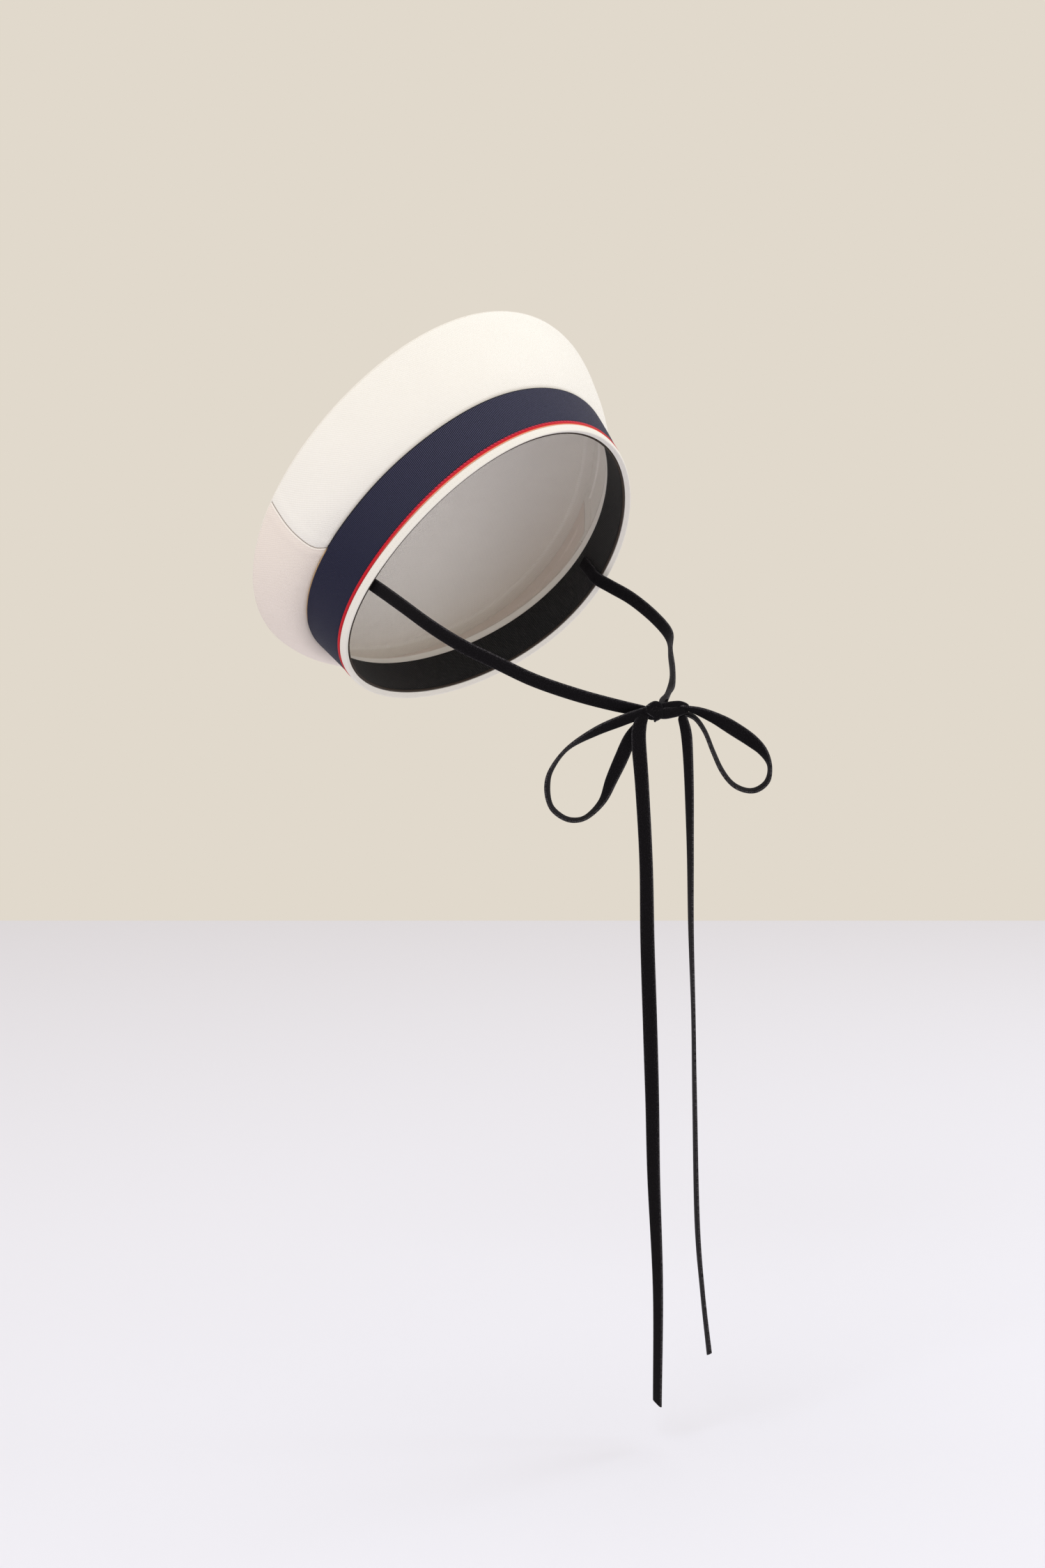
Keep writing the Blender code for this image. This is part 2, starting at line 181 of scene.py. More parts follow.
twillFacts = {
    "shader": {"Roughness": 0.88, "Specular IOR Level": 0.18, "Sheen Weight": 0.10,
               "Sheen Roughness": 0.5},  # the same all over the cloth
    "light": (0.925, 0.893, 0.846),
    "dark": (0.805, 0.768, 0.716),
    "ridgePitch": 1.0,  # millimetres
    "ridgeLean": 38.0,  # degrees that the twill's ridges lean
    "threadPitch": 0.72,  # millimetres, of the threads that cross them
    "ridgeShare": 0.62,  # of the weave; the threads have the rest
    "drift": 0.35,  # steps of the weave by which it wanders
    "driftNoise": 0.35,  # noise in cycles to a millimetre, as the next two
    "slubNoise": 1.9,
    "cloudNoise": 0.045,
    "relief": 0.00012,  # metres
    # painted highlight: the back panel's lip beside a side seam, as if catching the light
    "seamHighlight": (0.950, 0.915, 0.860),
    "seamFrom": 0.1, "seamTo": 0.8,  # millimetres from the seam, the back panel's lip with its painted highlight
    "seamHighlightStrength": 0.7,
    # painted shade: a shadow line along the side seams, and shade on the wall's foot above the
    # ribbon
    "seamShade": (0.420, 0.370, 0.320),
    "seamLine": 0.14,  # millimetres of shaded cloth along a side seam
    "seamDarkness": 0.5,
    "footShade": 2.6,  # millimetres above the ribbon over which the shade fades
    "footDarkness": 0.45,
}


# Twill: leaning ridges crossed by finer threads, each the sine of the distance square to it over
# its pitch. A panel with a length in millimetres has a painted shadow line along the seams at its
# ends and painted shade on its foot above the ribbon, and with a lip a painted highlight on the
# ridge beside them. The tone is the share of red, green and blue that is left.
def makeTwill(name, tone, length=None, lip=False):
    facts = twillFacts
    material, along, across, cloth = newMaterial(name, facts)
    lean = radians(facts["ridgeLean"])
    drift = cloth.noise(facts["driftNoise"]) * facts["drift"]
    ridges = ((along * cos(lean) + across * sin(lean)) / facts["ridgePitch"] + drift).wave()
    threads = ((across * cos(lean) - along * sin(lean)) / facts["threadPitch"] + drift).wave()
    slub = cloth.noise(facts["slubNoise"], 3.0)
    weave = ridges * facts["ridgeShare"] + threads * (1.0 - facts["ridgeShare"])
    cloudy = cloth.noise(facts["cloudNoise"], 3.0)
    light = tuple(share * part for share, part in zip(facts["light"], tone))
    dark = tuple(share * part for share, part in zip(facts["dark"], tone))
    colour = (weave * 0.5 + cloudy * 0.25 + slub * 0.25).mixed(dark, light)
    # painted shadow along the seams and painted shade on the wall's foot above the ribbon
    if length is not None:
        aside = along.reckon("MINIMUM", along, length - along)
        line = aside.step(facts["seamLine"] + 0.1, 0.5 * facts["seamLine"]) * facts["seamDarkness"]
        foot = across.step(facts["footShade"], 0.0) * facts["footDarkness"]
        shade = line.reckon("MAXIMUM", line, foot)
        colour = shade.mixed(colour, facts["seamShade"])
    # painted highlight on the back panel's lip beside the seams
    if lip:
        pale = (aside.step(facts["seamFrom"], facts["seamFrom"] + 0.2)
                * aside.step(facts["seamTo"], facts["seamTo"] - 0.4) * facts["seamHighlightStrength"])
        colour = pale.mixed(colour, facts["seamHighlight"])
    return finished(material, colour, weave * (slub * 0.7 + 0.6), facts)


hemFacts = {
    "shader": twillFacts["shader"],
    "light": (0.880, 0.845, 0.790),
    "dark": (0.740, 0.705, 0.650),
    "stitch": (0.600, 0.560, 0.505),
    "stitchPitch": 1.9,  # millimetres
    "stitchRows": (1.9, 3.7),  # millimetres above the hem's fold
    "stitchHalf": 0.22,  # half the height of a stitch, millimetres
    "stitchStrength": 0.4,
    "weavePitch": 0.75,
    "slubNoise": 1.7,
    "relief": 0.00009,  # metres
}


# Hem: the same cloth cut on the other grain, with rows of small sunken stitches, each a row's
# narrow band times the crests of a wave along it
def makeHemCloth():
    facts = hemFacts
    material, along, across, cloth = newMaterial("hemCloth", facts)
    slub = cloth.noise(facts["slubNoise"], 3.0)
    pitch = facts["weavePitch"]
    weave = ((along + across) / pitch).wave() * 0.6 + ((across - along) / pitch).wave() * 0.4
    base = (weave * 0.45 + slub * 0.55).mixed(facts["dark"], facts["light"])
    dashes = ((along + slub * 0.5) / facts["stitchPitch"]).wave().step(0.78, 0.96)
    rows = 0.0
    for row in facts["stitchRows"]:
        away = (across - row).size()
        rows = away.step(facts["stitchHalf"], 0.3 * facts["stitchHalf"]) + rows
    stitches = dashes * rows
    colour = (stitches * facts["stitchStrength"]).mixed(base, facts["stitch"])
    return finished(material, colour, weave * 0.4 + slub * 0.3 - stitches * 0.6, facts)


ribbonFacts = {
    "shader": {"Roughness": 0.6, "Specular IOR Level": 0.12},
    # painted sheen: the ribs' crests over the front; the furrow's darkness is partly painted shade
    "ridge": (0.085, 0.086, 0.155),
    "shadedBackRidge": (0.034, 0.036, 0.082),  # painted shade: behind the sides the ribs are darker
    "backStrength": 0.5,  # of the ribs there, weaker as painted shade
    "furrow": (0.003, 0.003, 0.009),
    "selvedge": (0.004, 0.004, 0.006),
    "tan": (0.50, 0.33, 0.17),
    "ribPitch": 0.86,  # millimetres, as the next three
    "selvedgeWidth": 0.9,
    "tanWidth": 0.85,
    "serration": 0.35,  # by which the ribs' ends reach into the tan edge
    "crest": 1.6,  # power that narrows the ribs' crests
    "speckleNoise": 2.6,
    "backFrom": 0.42, "backTo": 0.22,  # shares of the length from the back
    "tanStart": 3.0,  # degrees behind the side seam where the tan edge is full
    "tanEnd": 34.0,  # degrees behind the side seam where it ends
    "relief": 0.00022,  # metres
}


# Navy ribbon: upright ribs as a wave along it, their furrows darkened partly as painted shade and
# their crests brighter over the front as painted sheen, a black selvedge above, and behind the
# seams a tan edge that shows. Length and height are in millimetres.
def makeNavyRibbon(length, height):
    facts = ribbonFacts
    material, along, across, cloth = newMaterial("navyRibbon", facts)
    speckle = cloth.noise(facts["speckleNoise"])
    ribs = (along / facts["ribPitch"] + speckle * 0.22).wave()
    middle = 0.5 * length  # cloth coordinate of the back
    aside = (along - middle).size()
    # painted sheen and shade: ribs brighter and stronger over the front, darker and weaker behind
    # the sides
    front = aside.step(facts["backTo"] * length, facts["backFrom"] * length)
    ridge = front.mixed(facts["shadedBackRidge"], facts["ridge"])
    strength = front * (1.0 - facts["backStrength"]) + facts["backStrength"]
    ridges = ribs ** facts["crest"] * strength + (1.0 - strength) * 0.4
    ribbed = (ridges * (speckle * 1.3 + 0.3)).mixed(facts["furrow"], ridge)
    fromTop = height - across
    dark = fromTop.step(facts["selvedgeWidth"], 0.4 * facts["selvedgeWidth"])
    woven = dark.mixed(ribbed, facts["selvedge"])
    perDegree = length / 360.0
    seam = (180.0 - cap["seamAngle"]) * perDegree
    end = seam - facts["tanEnd"] * perDegree
    span = (aside.step(seam - 0.5 * perDegree, seam - facts["tanStart"] * perDegree)
            * aside.step(end - 5.0 * perDegree, end))
    edge = fromTop + ribs * facts["serration"]
    tan = edge.step(facts["tanWidth"] + 0.08, facts["tanWidth"] - 0.08) * span
    colour = tan.mixed(woven, facts["tan"])
    return finished(material, colour, ribs * strength * (1.0 - tan * 0.5) + speckle * 0.25, facts)


redFacts = {
    "shader": {"Roughness": 0.55, "Specular IOR Level": 0.25},
    "crimson": (0.560, 0.003, 0.014),
    "gap": (0.190, 0.001, 0.012),
    "bead": (0.660, 0.032, 0.080),
    "line": (0.800, 0.170, 0.075),
    "pale": (0.860, 0.500, 0.360),
    "beadPitch": 2.2,  # millimetres
    "beadSlant": 1.1,  # millimetres along for each one up
    "beadFoot": 1.15, "beadTop": 1.60,  # millimetres above the stripe's foot
    "lineTop": 0.40,
    "paleTop": 0.14,
    "fineNoise": 2.0,
    "lineFrom": 0.24, "lineFull": 0.36,  # shares of the length from the back
    "relief": 0.00018,  # metres
}


# Red stripe: a twisted crimson cord, beaded along its upper side by a slanting wave, over a thin
# orange line that only the front shows
def makeRedStripe(length):
    facts = redFacts
    material, along, across, cloth = newMaterial("redStripe", facts)
    fine = cloth.noise(facts["fineNoise"], 3.0)
    fromBack = (along - 0.5 * length).size()
    front = fromBack.step(facts["lineFrom"] * length, facts["lineFull"] * length)
    twist = ((along + across * facts["beadSlant"]) / facts["beadPitch"] + fine * 0.45).wave()
    upper = across.step(facts["beadFoot"], facts["beadTop"])
    beaded = twist.step(0.15, 0.80).mixed(facts["gap"], facts["bead"])
    cord = (upper * 0.85 * (front * 0.6 + 0.4)).mixed(facts["crimson"], beaded)
    rough = across + fine * 0.16
    line = rough.step(facts["paleTop"] + 0.16, facts["paleTop"] + 0.02)
    orange = line.mixed(facts["line"], facts["pale"])
    below = rough.step(facts["lineTop"] + 0.20, facts["lineTop"] + 0.02) * front
    colour = below.mixed(cord, orange)
    return finished(material, colour, twist * upper + fine * 0.4, facts)


bandFacts = {
    "shader": {"Roughness": 0.8, "Specular IOR Level": 0.2, "Sheen Weight": 0.05,
               "Sheen Roughness": 0.4},
    "ridge": (0.020, 0.019, 0.020),
    "furrow": (0.005, 0.005, 0.005),
    # painted reflection: the brown foot stands in for light thrown back on the band's lower edge
    "edge": (0.040, 0.028, 0.021),
    "edgeWidth": 1.2,  # millimetres, as the next two
    "ribPitch": 1.05,
    "wovenEdge": 1.6,
    "speckleNoise": 2.2,
    "relief": 0.00020,  # metres
}


# Inside band: black, with upright ribs, a flat woven edge above and below, and a brown foot that is
# painted reflected light
def makeInsideBand(height):
    facts = bandFacts
    material, along, across, cloth = newMaterial("insideBand", facts)
    ribs = (along / facts["ribPitch"]).wave()
    flat = facts["wovenEdge"]
    edges = across.step(flat, flat + 0.3) * across.step(height - flat, height - flat - 0.3)
    speckle = cloth.noise(facts["speckleNoise"])
    woven = (ribs * 0.7 * edges + speckle * 0.3).mixed(facts["furrow"], facts["ridge"])
    # painted reflection: the band's foot turned brown
    colour = across.step(facts["edgeWidth"], 0.5 * facts["edgeWidth"]).mixed(woven, facts["edge"])
    return finished(material, colour, ribs * edges + speckle * 0.2, facts)


velvetFacts = {
    "shader": {"Roughness": 0.95, "Specular IOR Level": 0.05, "Sheen Weight": 0.10,
               "Sheen Roughness": 0.35, "Sheen Tint": (0.62, 0.60, 0.66, 1.0)},
    "pile": (0.0055, 0.0048, 0.0056),
    "fleck": (0.055, 0.050, 0.056),
    # painted sheen: the grey of the pile seen edge-on along the woven edges
    "edge": (0.118, 0.110, 0.119),
    "halfWidth": 3.8,  # millimetres
    "edgeWidth": 0.45,  # millimetres of the woven edge, which the hairs cross
    "tuftPitch": 0.52,  # millimetres
    "speckleNoise": 2.2,
    "clumpNoise": 0.55,
    "relief": 0.00022,  # metres
}


# Velvet: near black pile with grey flecks, and along each woven edge a fringe of short hairs, the
# crests of a wave along it that clumps of noise thin out; their grey is painted sheen of the pile
# seen edge-on
def makeVelvet():
    facts = velvetFacts
    material, along, across, cloth = newMaterial("blackVelvet", facts)
    speckle = cloth.noise(facts["speckleNoise"], 3.0)
    clumps = cloth.noise(facts["clumpNoise"])
    aside = across.size()
    hairs = (along / facts["tuftPitch"] + aside * 0.5 + speckle * 0.9).wave().step(0.35, 0.95)
    foot = facts["halfWidth"] - facts["edgeWidth"]
    edge = aside.step(foot - 0.25, facts["halfWidth"] - 0.5 * facts["edgeWidth"])
    near = aside.step(0.35 * facts["halfWidth"], facts["halfWidth"])
    flecks = speckle.step(0.52, 0.72) * (near * 0.75 + 0.25)
    colour = flecks.mixed(facts["pile"], facts["fleck"])
    # painted sheen: the hairs are real relief, their grey along each edge is painted
    fringeSheen = edge * hairs * (clumps.step(0.34, 0.62) * 0.75 + 0.25)
    colour = fringeSheen.mixed(colour, facts["edge"])
    return finished(material, colour, speckle * 0.7 + hairs * edge * 0.6, facts)


# Builds a closed mesh from a grid of points. Rows run along the piece, columns across it; a wrapped
# direction joins its last line to its first. Ends: "fan" closes the first and last row at their
# middles, "strip" joins each column to the one opposite. The cloth coordinates become a UV map.
def buildSurface(name, points, cloth, wrapRows=False, wrapColumns=False, ends=""):
    rows, columns = points.shape[:2]
    row, column = np.meshgrid(np.arange(rows - (not wrapRows)),
                              np.arange(columns - (not wrapColumns)), indexing="ij")

    def corner(down, right):
        return ((row + down) % rows) * columns + (column + right) % columns

    turns = ((0, 0), (0, 1), (1, 1), (1, 0))
    quads = np.stack([corner(*turn) for turn in turns], axis=-1).reshape(-1, 4)
    quadCloth = np.stack([cloth[row + down, column + right] for down, right in turns],
                         axis=2).reshape(-1, 2)
    vertices = points.reshape(-1, 3)
    triangles = np.zeros((0, 3), dtype=int)
    triangleCloth = np.zeros((0, 2))
    for last, base in ((False, 0), (True, (rows - 1) * columns)):
        clothRow = cloth[rows - 1 if last else 0]
        if ends == "fan":
            pole = len(vertices)
            vertices = np.vstack([vertices, points[rows - 1 if last else 0].mean(axis=0)])
            side = np.arange(columns)
            near, far = base + side, base + (side + 1) % columns
            fan = np.stack([near, far, np.full(columns, pole)], axis=-1)
            fanCloth = np.stack([clothRow[side], clothRow[side + 1],
                                 0.5 * (clothRow[side] + clothRow[side + 1])], axis=1)
            if not last:
                fan, fanCloth = fan[:, ::-1], fanCloth[:, ::-1]
            triangles = np.vstack([triangles, fan])
            triangleCloth = np.vstack([triangleCloth, fanCloth.reshape(-1, 2)])
        elif ends == "strip":
            side = np.arange(columns // 2 - 1)
            opposite = columns - 1 - side
            strip = np.stack([base + side, base + side + 1, base + opposite - 1,
                              base + opposite], axis=-1)
            stripCloth = np.stack([clothRow[side], clothRow[side + 1], clothRow[opposite - 1],
                                   clothRow[opposite]], axis=1)
            if not last:
                strip, stripCloth = strip[:, ::-1], stripCloth[:, ::-1]
            quads = np.vstack([quads, strip])
            quadCloth = np.vstack([quadCloth, stripCloth.reshape(-1, 2)])

    corners = vertices[quads]
    volume = np.sum(corners[:, 0] * np.cross(corners[:, 1], corners[:, 2]))
    volume += np.sum(corners[:, 0] * np.cross(corners[:, 2], corners[:, 3]))
    if volume < 0.0:  # turned inside out, so every face is read the other way
        quads, triangles = quads[:, ::-1], triangles[:, ::-1]
        quadCloth = quadCloth.reshape(-1, 4, 2)[:, ::-1].reshape(-1, 2)
        triangleCloth = triangleCloth.reshape(-1, 3, 2)[:, ::-1].reshape(-1, 2)
    mesh = bpy.data.meshes.new(name)
    mesh.from_pydata(vertices.tolist(), [], quads.tolist() + triangles.tolist())
    layer = mesh.uv_layers.new(name="cloth")
    layer.data.foreach_set("uv", np.vstack([quadCloth, triangleCloth]).astype(np.float32).ravel())
    mesh.shade_smooth()
    mesh.set_sharp_from_angle(angle=radians(50))
    return addObject(name, mesh)


# Gives a piece its material and its body, and hides the nodes that it takes the place of
def fitPiece(piece, material, slotName, *nodes):
    piece.data.materials.append(material)
    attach(piece, "root")
    if nodes:
        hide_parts(*nodes)
    return piece


# Vectors over their own lengths
def unit(vectors):
    return vectors / np.linalg.norm(vectors, axis=-1, keepdims=True)


# Lengths along the rows or columns of a grid of points, in its own unit
def runs(points, axis):
    steps = np.linalg.norm(np.diff(points, axis=axis), axis=-1)
    first = np.zeros_like(np.take(steps, [0], axis=axis))
    return np.cumsum(np.concatenate([first, steps], axis=axis), axis=axis)


# Smooth climb: three times the share squared less twice its cube
def eased(share):
    return share * share * (3 - 2 * share)


# Smooth curve through the rows of a table: between two rows a curve of the third degree, whose
# slopes are half the way between their neighbours, read at even steps along its length
def smoothRows(rows, steps):
    rows = np.array(rows, dtype=float)
    rows = np.vstack([2 * rows[0] - rows[1], rows, 2 * rows[-1] - rows[-2]])
    share = np.linspace(0.0, 1.0, 24, endpoint=False)[:, None]
    pieces = [
        start + 0.5 * share * (end - before)
        + share ** 2 * (before - 2.5 * start + 2 * end - 0.5 * after)
        + share ** 3 * (1.5 * (start - end) + 0.5 * (after - before))
        for before, start, end, after in zip(rows, rows[1:], rows[2:], rows[3:])
    ]
    fine = np.vstack([*pieces, rows[-2:-1]])
    return evenly(fine, steps)


# Reads rows again at even steps of the length of their first three columns
def evenly(rows, steps):
    length = runs(rows[:, :3], 0)
    even = np.linspace(0.0, length[-1], steps + 1)
    return np.stack([np.interp(even, length, column) for column in rows.T], axis=1)


velvetRibbon = {
    "width": 0.0076,  # metres, as the next two
    "thickness": 0.0016,
    "step": 0.0006,  # between the rings of the mesh
    "sides": 20,  # points of a ring
    "routeRows": 300,  # read from each route
    "turnRows": 26,  # of a turn inside the knot, with its ends
    "faceCentre": (0.0, -38.0, -22.0),  # millimetres; the ties turn their faces away from it
    "knot": (0.0, -0.1230, -0.0690),
    "bowTurn": -32.0,  # degrees that the bow is turned to the wearer's right
    "exit": (0.0818, 0.0044, -0.0053),  # where a tie leaves the band, wearer's left
    "pull": 6.5,  # millimetres that a turn inside the knot reaches
    "pinch": 0.4,  # share of its width that it loses halfway
    "cutRight": -0.0012,  # metres that each tail's end leans to its sides
    "cutLeft": 0.0016,
    "cutEase": 0.0060,  # length over which the rings before the end follow it
}

# Routes of the ties as on the wearer's left, mirrored for the right: x, y, z in millimetres, the
# share of the width and the turn of the face in degrees
tieRoute = (
    (86, 19.9, 3.8, 1, 0), (83.6, 11.2, -1.5, 1, 0), (81.8, 4.4, -5.3, 1, 0),
    (82.3, -6.5, -9.6, 1, 0), (83.3, -22.8, -16.2, 1, 0), (81.5, -42.5, -26, 1, 0),
    (75.8, -59.3, -35.1, 1, 0),
)
tieEndRight = (
    (63.4, -72.4, -43.8, 1, 0), (50.5, -86.6, -52.7, 1, 0), (33.7, -101.4, -60.4, 1, 0),
    (17.2, -113.4, -65.9, 0.95, 0), (3.1, -118.5, -69.1, 0.8, 0),
)
tieEndLeft = (
    (63.4, -72.4, -43.8, 1, 12), (50.5, -86.6, -52.7, 1, 6), (33.7, -101.4, -60.4, 1, -18),
    (18.5, -112.9, -63, 1, -26), (6.4, -124.1, -65.3, 0.8, -14),
)
# Routes of the bow: across, out and up from the knot in millimetres, the degrees that the face
# turns to the viewer and the share of the width
loopRight = (
    (-4.8, 1.6, -0.4, 78, 0.75), (-16.8, 3, -4.2, 62, 0.9), (-31.5, 2.8, -10, 42, 1),
    (-45.7, 1.6, -18.5, 20, 1), (-54, 0.6, -29.3, 24, 1), (-56.1, 0, -38.5, 29, 1),
    (-54.2, -0.4, -48.1, 22, 1), (-48.6, -0.6, -53.7, 16, 1), (-42, -0.8, -55.9, 9, 1),
    (-34.7, -1, -54.1, 3, 1), (-26.8, -1.2, -46.3, 13, 1), (-22, -1.2, -35.3, 39, 1),
    (-17.1, -1.2, -24.7, 56, 1), (-12, -1.2, -13.6, 70, 0.9), (-5.4, -0.6, -4.6, 84, 0.6),
)
loopLeft = (
    (17.1, 1.2, 1.4, 28, 0.65), (24.4, 1.6, -0.7, 38, 0.9), (33.7, 1.6, -4.8, 52, 1),
    (42.8, 1.2, -10.1, 74, 1), (51.8, 0.6, -16.1, 57, 1), (58.2, 0.2, -22.1, 27, 1),
    (61.9, 0, -29.6, -2, 1), (60.9, -0.2, -37.2, 0, 1), (55.6, -0.4, -41.7, 6, 1),
    (49.4, -0.6, -42.1, 12, 1), (42.3, -0.8, -38.7, 18, 1), (36.5, -1, -31.5, 22, 1),
    (31.9, -1.2, -21.8, 22, 1), (27.6, -1.6, -11.4, 22, 0.95), (22.6, -1.8, -4.4, 26, 0.75),
    (17.1, -1.6, -1.6, 30, 0.55),
)
tailRight = (
    (-5.8, 2.2, -1.8, 80, 0.7), (-8.3, 3.4, -7.5, 76, 0.95), (-8.8, 3.8, -16, 72, 1),
    (-7, 4, -39.5, 56, 1), (-4.7, 3.6, -78, 51, 1), (-3.6, 2.8, -120, 62, 1),
    (-1.8, 2, -165, 68, 1), (-0.3, 1.2, -205, 57, 1), (0.8, 0.6, -245, 47, 1),
    (3.4, 0.2, -305, 28, 1), (3.4, 0, -366.2, 20, 1),
)
tailLeft = (
    (15.2, 0.4, -4, 46, 0.75), (17.1, 0.4, -11.9, 36, 0.95), (18.2, 0, -24, 26, 1),
    (19, -0.2, -42, 20, 1), (19.8, -0.4, -75, 9, 1), (20.4, -0.4, -115, 2, 1),
    (21.9, -0.4, -160, -4, 1), (22.8, -0.2, -205, -2, 1), (24.5, 0, -270, 1, 1),
    (27.6, 0.2, -308, -1, 1), (31.4, 0.4, -341, 2, 1),
)


# The bow's directions: across, towards its viewer and up
def bowAxes():
    turn = radians(velvetRibbon["bowTurn"])
    return np.array(((cos(turn), sin(turn), 0.0), (sin(turn), -cos(turn), 0.0), (0.0, 0.0, 1.0)))


# Rows of a tie: its place, the direction of its face and its width share. The face looks away
# from the face centre and is then turned about the tie.
def tieRows(side, end):
    rows = smoothRows(tieRoute + end, velvetRibbon["routeRows"])
    centres = rows[:, :3] * millimetre
    outward = faced(centres, centres - np.array(velvetRibbon["faceCentre"]) * millimetre)
    across = np.cross(lineOf(centres), outward)
    turn = np.radians(rows[:, 4:])
    face = outward * np.cos(turn) + across * np.sin(turn)
    mirror = np.array((side, 1.0, 1.0))
    return np.hstack([centres * mirror, faced(centres * mirror, face * mirror), rows[:, 3:4]])


# Directions along a line of centres, from each one's neighbours
def lineOf(centres):
    return unit(np.gradient(centres, axis=0))


# The part of a direction that is square to a line of centres: the direction less its share along
def faced(centres, directions):
    along = lineOf(centres)
    return unit(directions - along * np.sum(directions * along, axis=1, keepdims=True))


# Rows of a loop or a tail, as a tie's: the face turns from square to the viewer's direction
# towards it, and outerSide says on which side its outer face lies
def bowRows(route, outerSide):
    rows = smoothRows(route, velvetRibbon["routeRows"])
    axes = bowAxes()
    centres = np.array(velvetRibbon["knot"]) + rows[:, :3] * millimetre @ axes
    viewer = faced(centres, np.broadcast_to(axes[1], centres.shape))
    outer = outerSide * np.cross(lineOf(centres), viewer)
    turn = np.radians(rows[:, 3:4])
    face = outer * np.cos(turn) + viewer * np.sin(turn)
    return np.hstack([centres, faced(centres, face), rows[:, 4:]])


# Turn inside the knot from the end of one run to the start of the next: a curve of the third
# degree that leaves and arrives in their own directions
def knotTurn(before, after):
    pull = velvetRibbon["pull"] * millimetre
    share = np.linspace(0.0, 1.0, velvetRibbon["turnRows"])[1:-1, None]
    leave = unit(before[-1, :3] - before[-3, :3]) * pull
    arrive = unit(after[2, :3] - after[0, :3]) * pull
    place = ((2 * share ** 3 - 3 * share ** 2 + 1) * before[-1, :3]
             + (share ** 3 - 2 * share ** 2 + share) * leave
             + (3 * share ** 2 - 2 * share ** 3) * after[0, :3]
             + (share ** 3 - share ** 2) * arrive)
    rest = before[-1, 3:] * (1 - share) + after[0, 3:] * share
    rest[:, 3] *= 1.0 - velvetRibbon["pinch"] * np.sin(pi * share[:, 0])
    return np.hstack([place, rest])


# Ribbon section: a flat oval with blunt edges, across as the cosine's size to the power 0.45 and
# deep as the sine's to the power 0.70, each with its own sign
def ribbonSection(count):
    turn = np.linspace(0.0, 2 * pi, count, endpoint=False) + pi / count
    aside = np.sign(np.cos(turn)) * np.abs(np.cos(turn)) ** 0.45
    depth = np.sign(np.sin(turn)) * np.abs(np.sin(turn)) ** 0.70
    return aside, depth


# The section carried along the rows, its rings leaning towards the slanted cut at the end
def ribbonSurface(name, rows, steps, cutSlant):
    rows = evenly(rows, steps)
    centres = rows[:, :3]
    face = faced(centres, rows[:, 3:6])
    across = np.cross(lineOf(centres), face)
    aside, depth = ribbonSection(velvetRibbon["sides"])
    halfWidth = 0.5 * velvetRibbon["width"] * rows[:, 6]
    halfDepth = 0.5 * velvetRibbon["thickness"] * (0.6 + 0.4 * rows[:, 6])
    points = (centres[:, None]
              + across[:, None] * (halfWidth[:, None] * aside)[..., None]
              + face[:, None] * (halfDepth[:, None] * depth)[..., None])
    fromEnd = (len(rows) - 1 - np.arange(len(rows)))[:, None] * velvetRibbon["step"]
    ease = np.clip(1.0 - fromEnd / velvetRibbon["cutEase"], 0.0, 1.0) ** 2
    along = lineOf(centres)[:, None]
    points = points + along * (ease * cutSlant * aside)[..., None]
    run = np.arange(len(rows)) * velvetRibbon["step"] / millimetre
    aside = np.append(aside, aside[0]) * velvetFacts["halfWidth"]
    cloth = np.stack(np.meshgrid(run, aside, indexing="ij"), axis=-1)
    return buildSurface(name, points, cloth, wrapColumns=True, ends="fan"), centres


# Each velvet ribbon is one run of tie, loop and tail
def makeTies():
    velvet = makeVelvet()
    ribbons = {
        "ribbonRight": (-1.0, velvetRibbon["cutRight"], tieEndRight, loopRight, tailRight,
                        ("tie_right", "loop_right", "tail_right")),
        "ribbonLeft": (1.0, velvetRibbon["cutLeft"], tieEndLeft, loopLeft, tailLeft,
                       ("tie_left", "loop_left", "tail_left")),
    }
    made = {}
    for name, (side, cut, end, loopRoute, tailRoute, nodes) in ribbons.items():
        tie, loop, tail = tieRows(side, end), bowRows(loopRoute, side), bowRows(tailRoute, 1.0)
        rows = np.vstack([tie, knotTurn(tie, loop), loop, knotTurn(loop, tail), tail])
        length = float(runs(rows[:, :3], 0)[-1])
        piece, centres = ribbonSurface(name, rows, round(length / velvetRibbon["step"]), cut)
        fitPiece(piece, velvet, "black_velvet", *nodes)
        made[name] = (piece, centres, length, side)
        print(name, "is", round(length, 4), "m long")
    return made, velvet


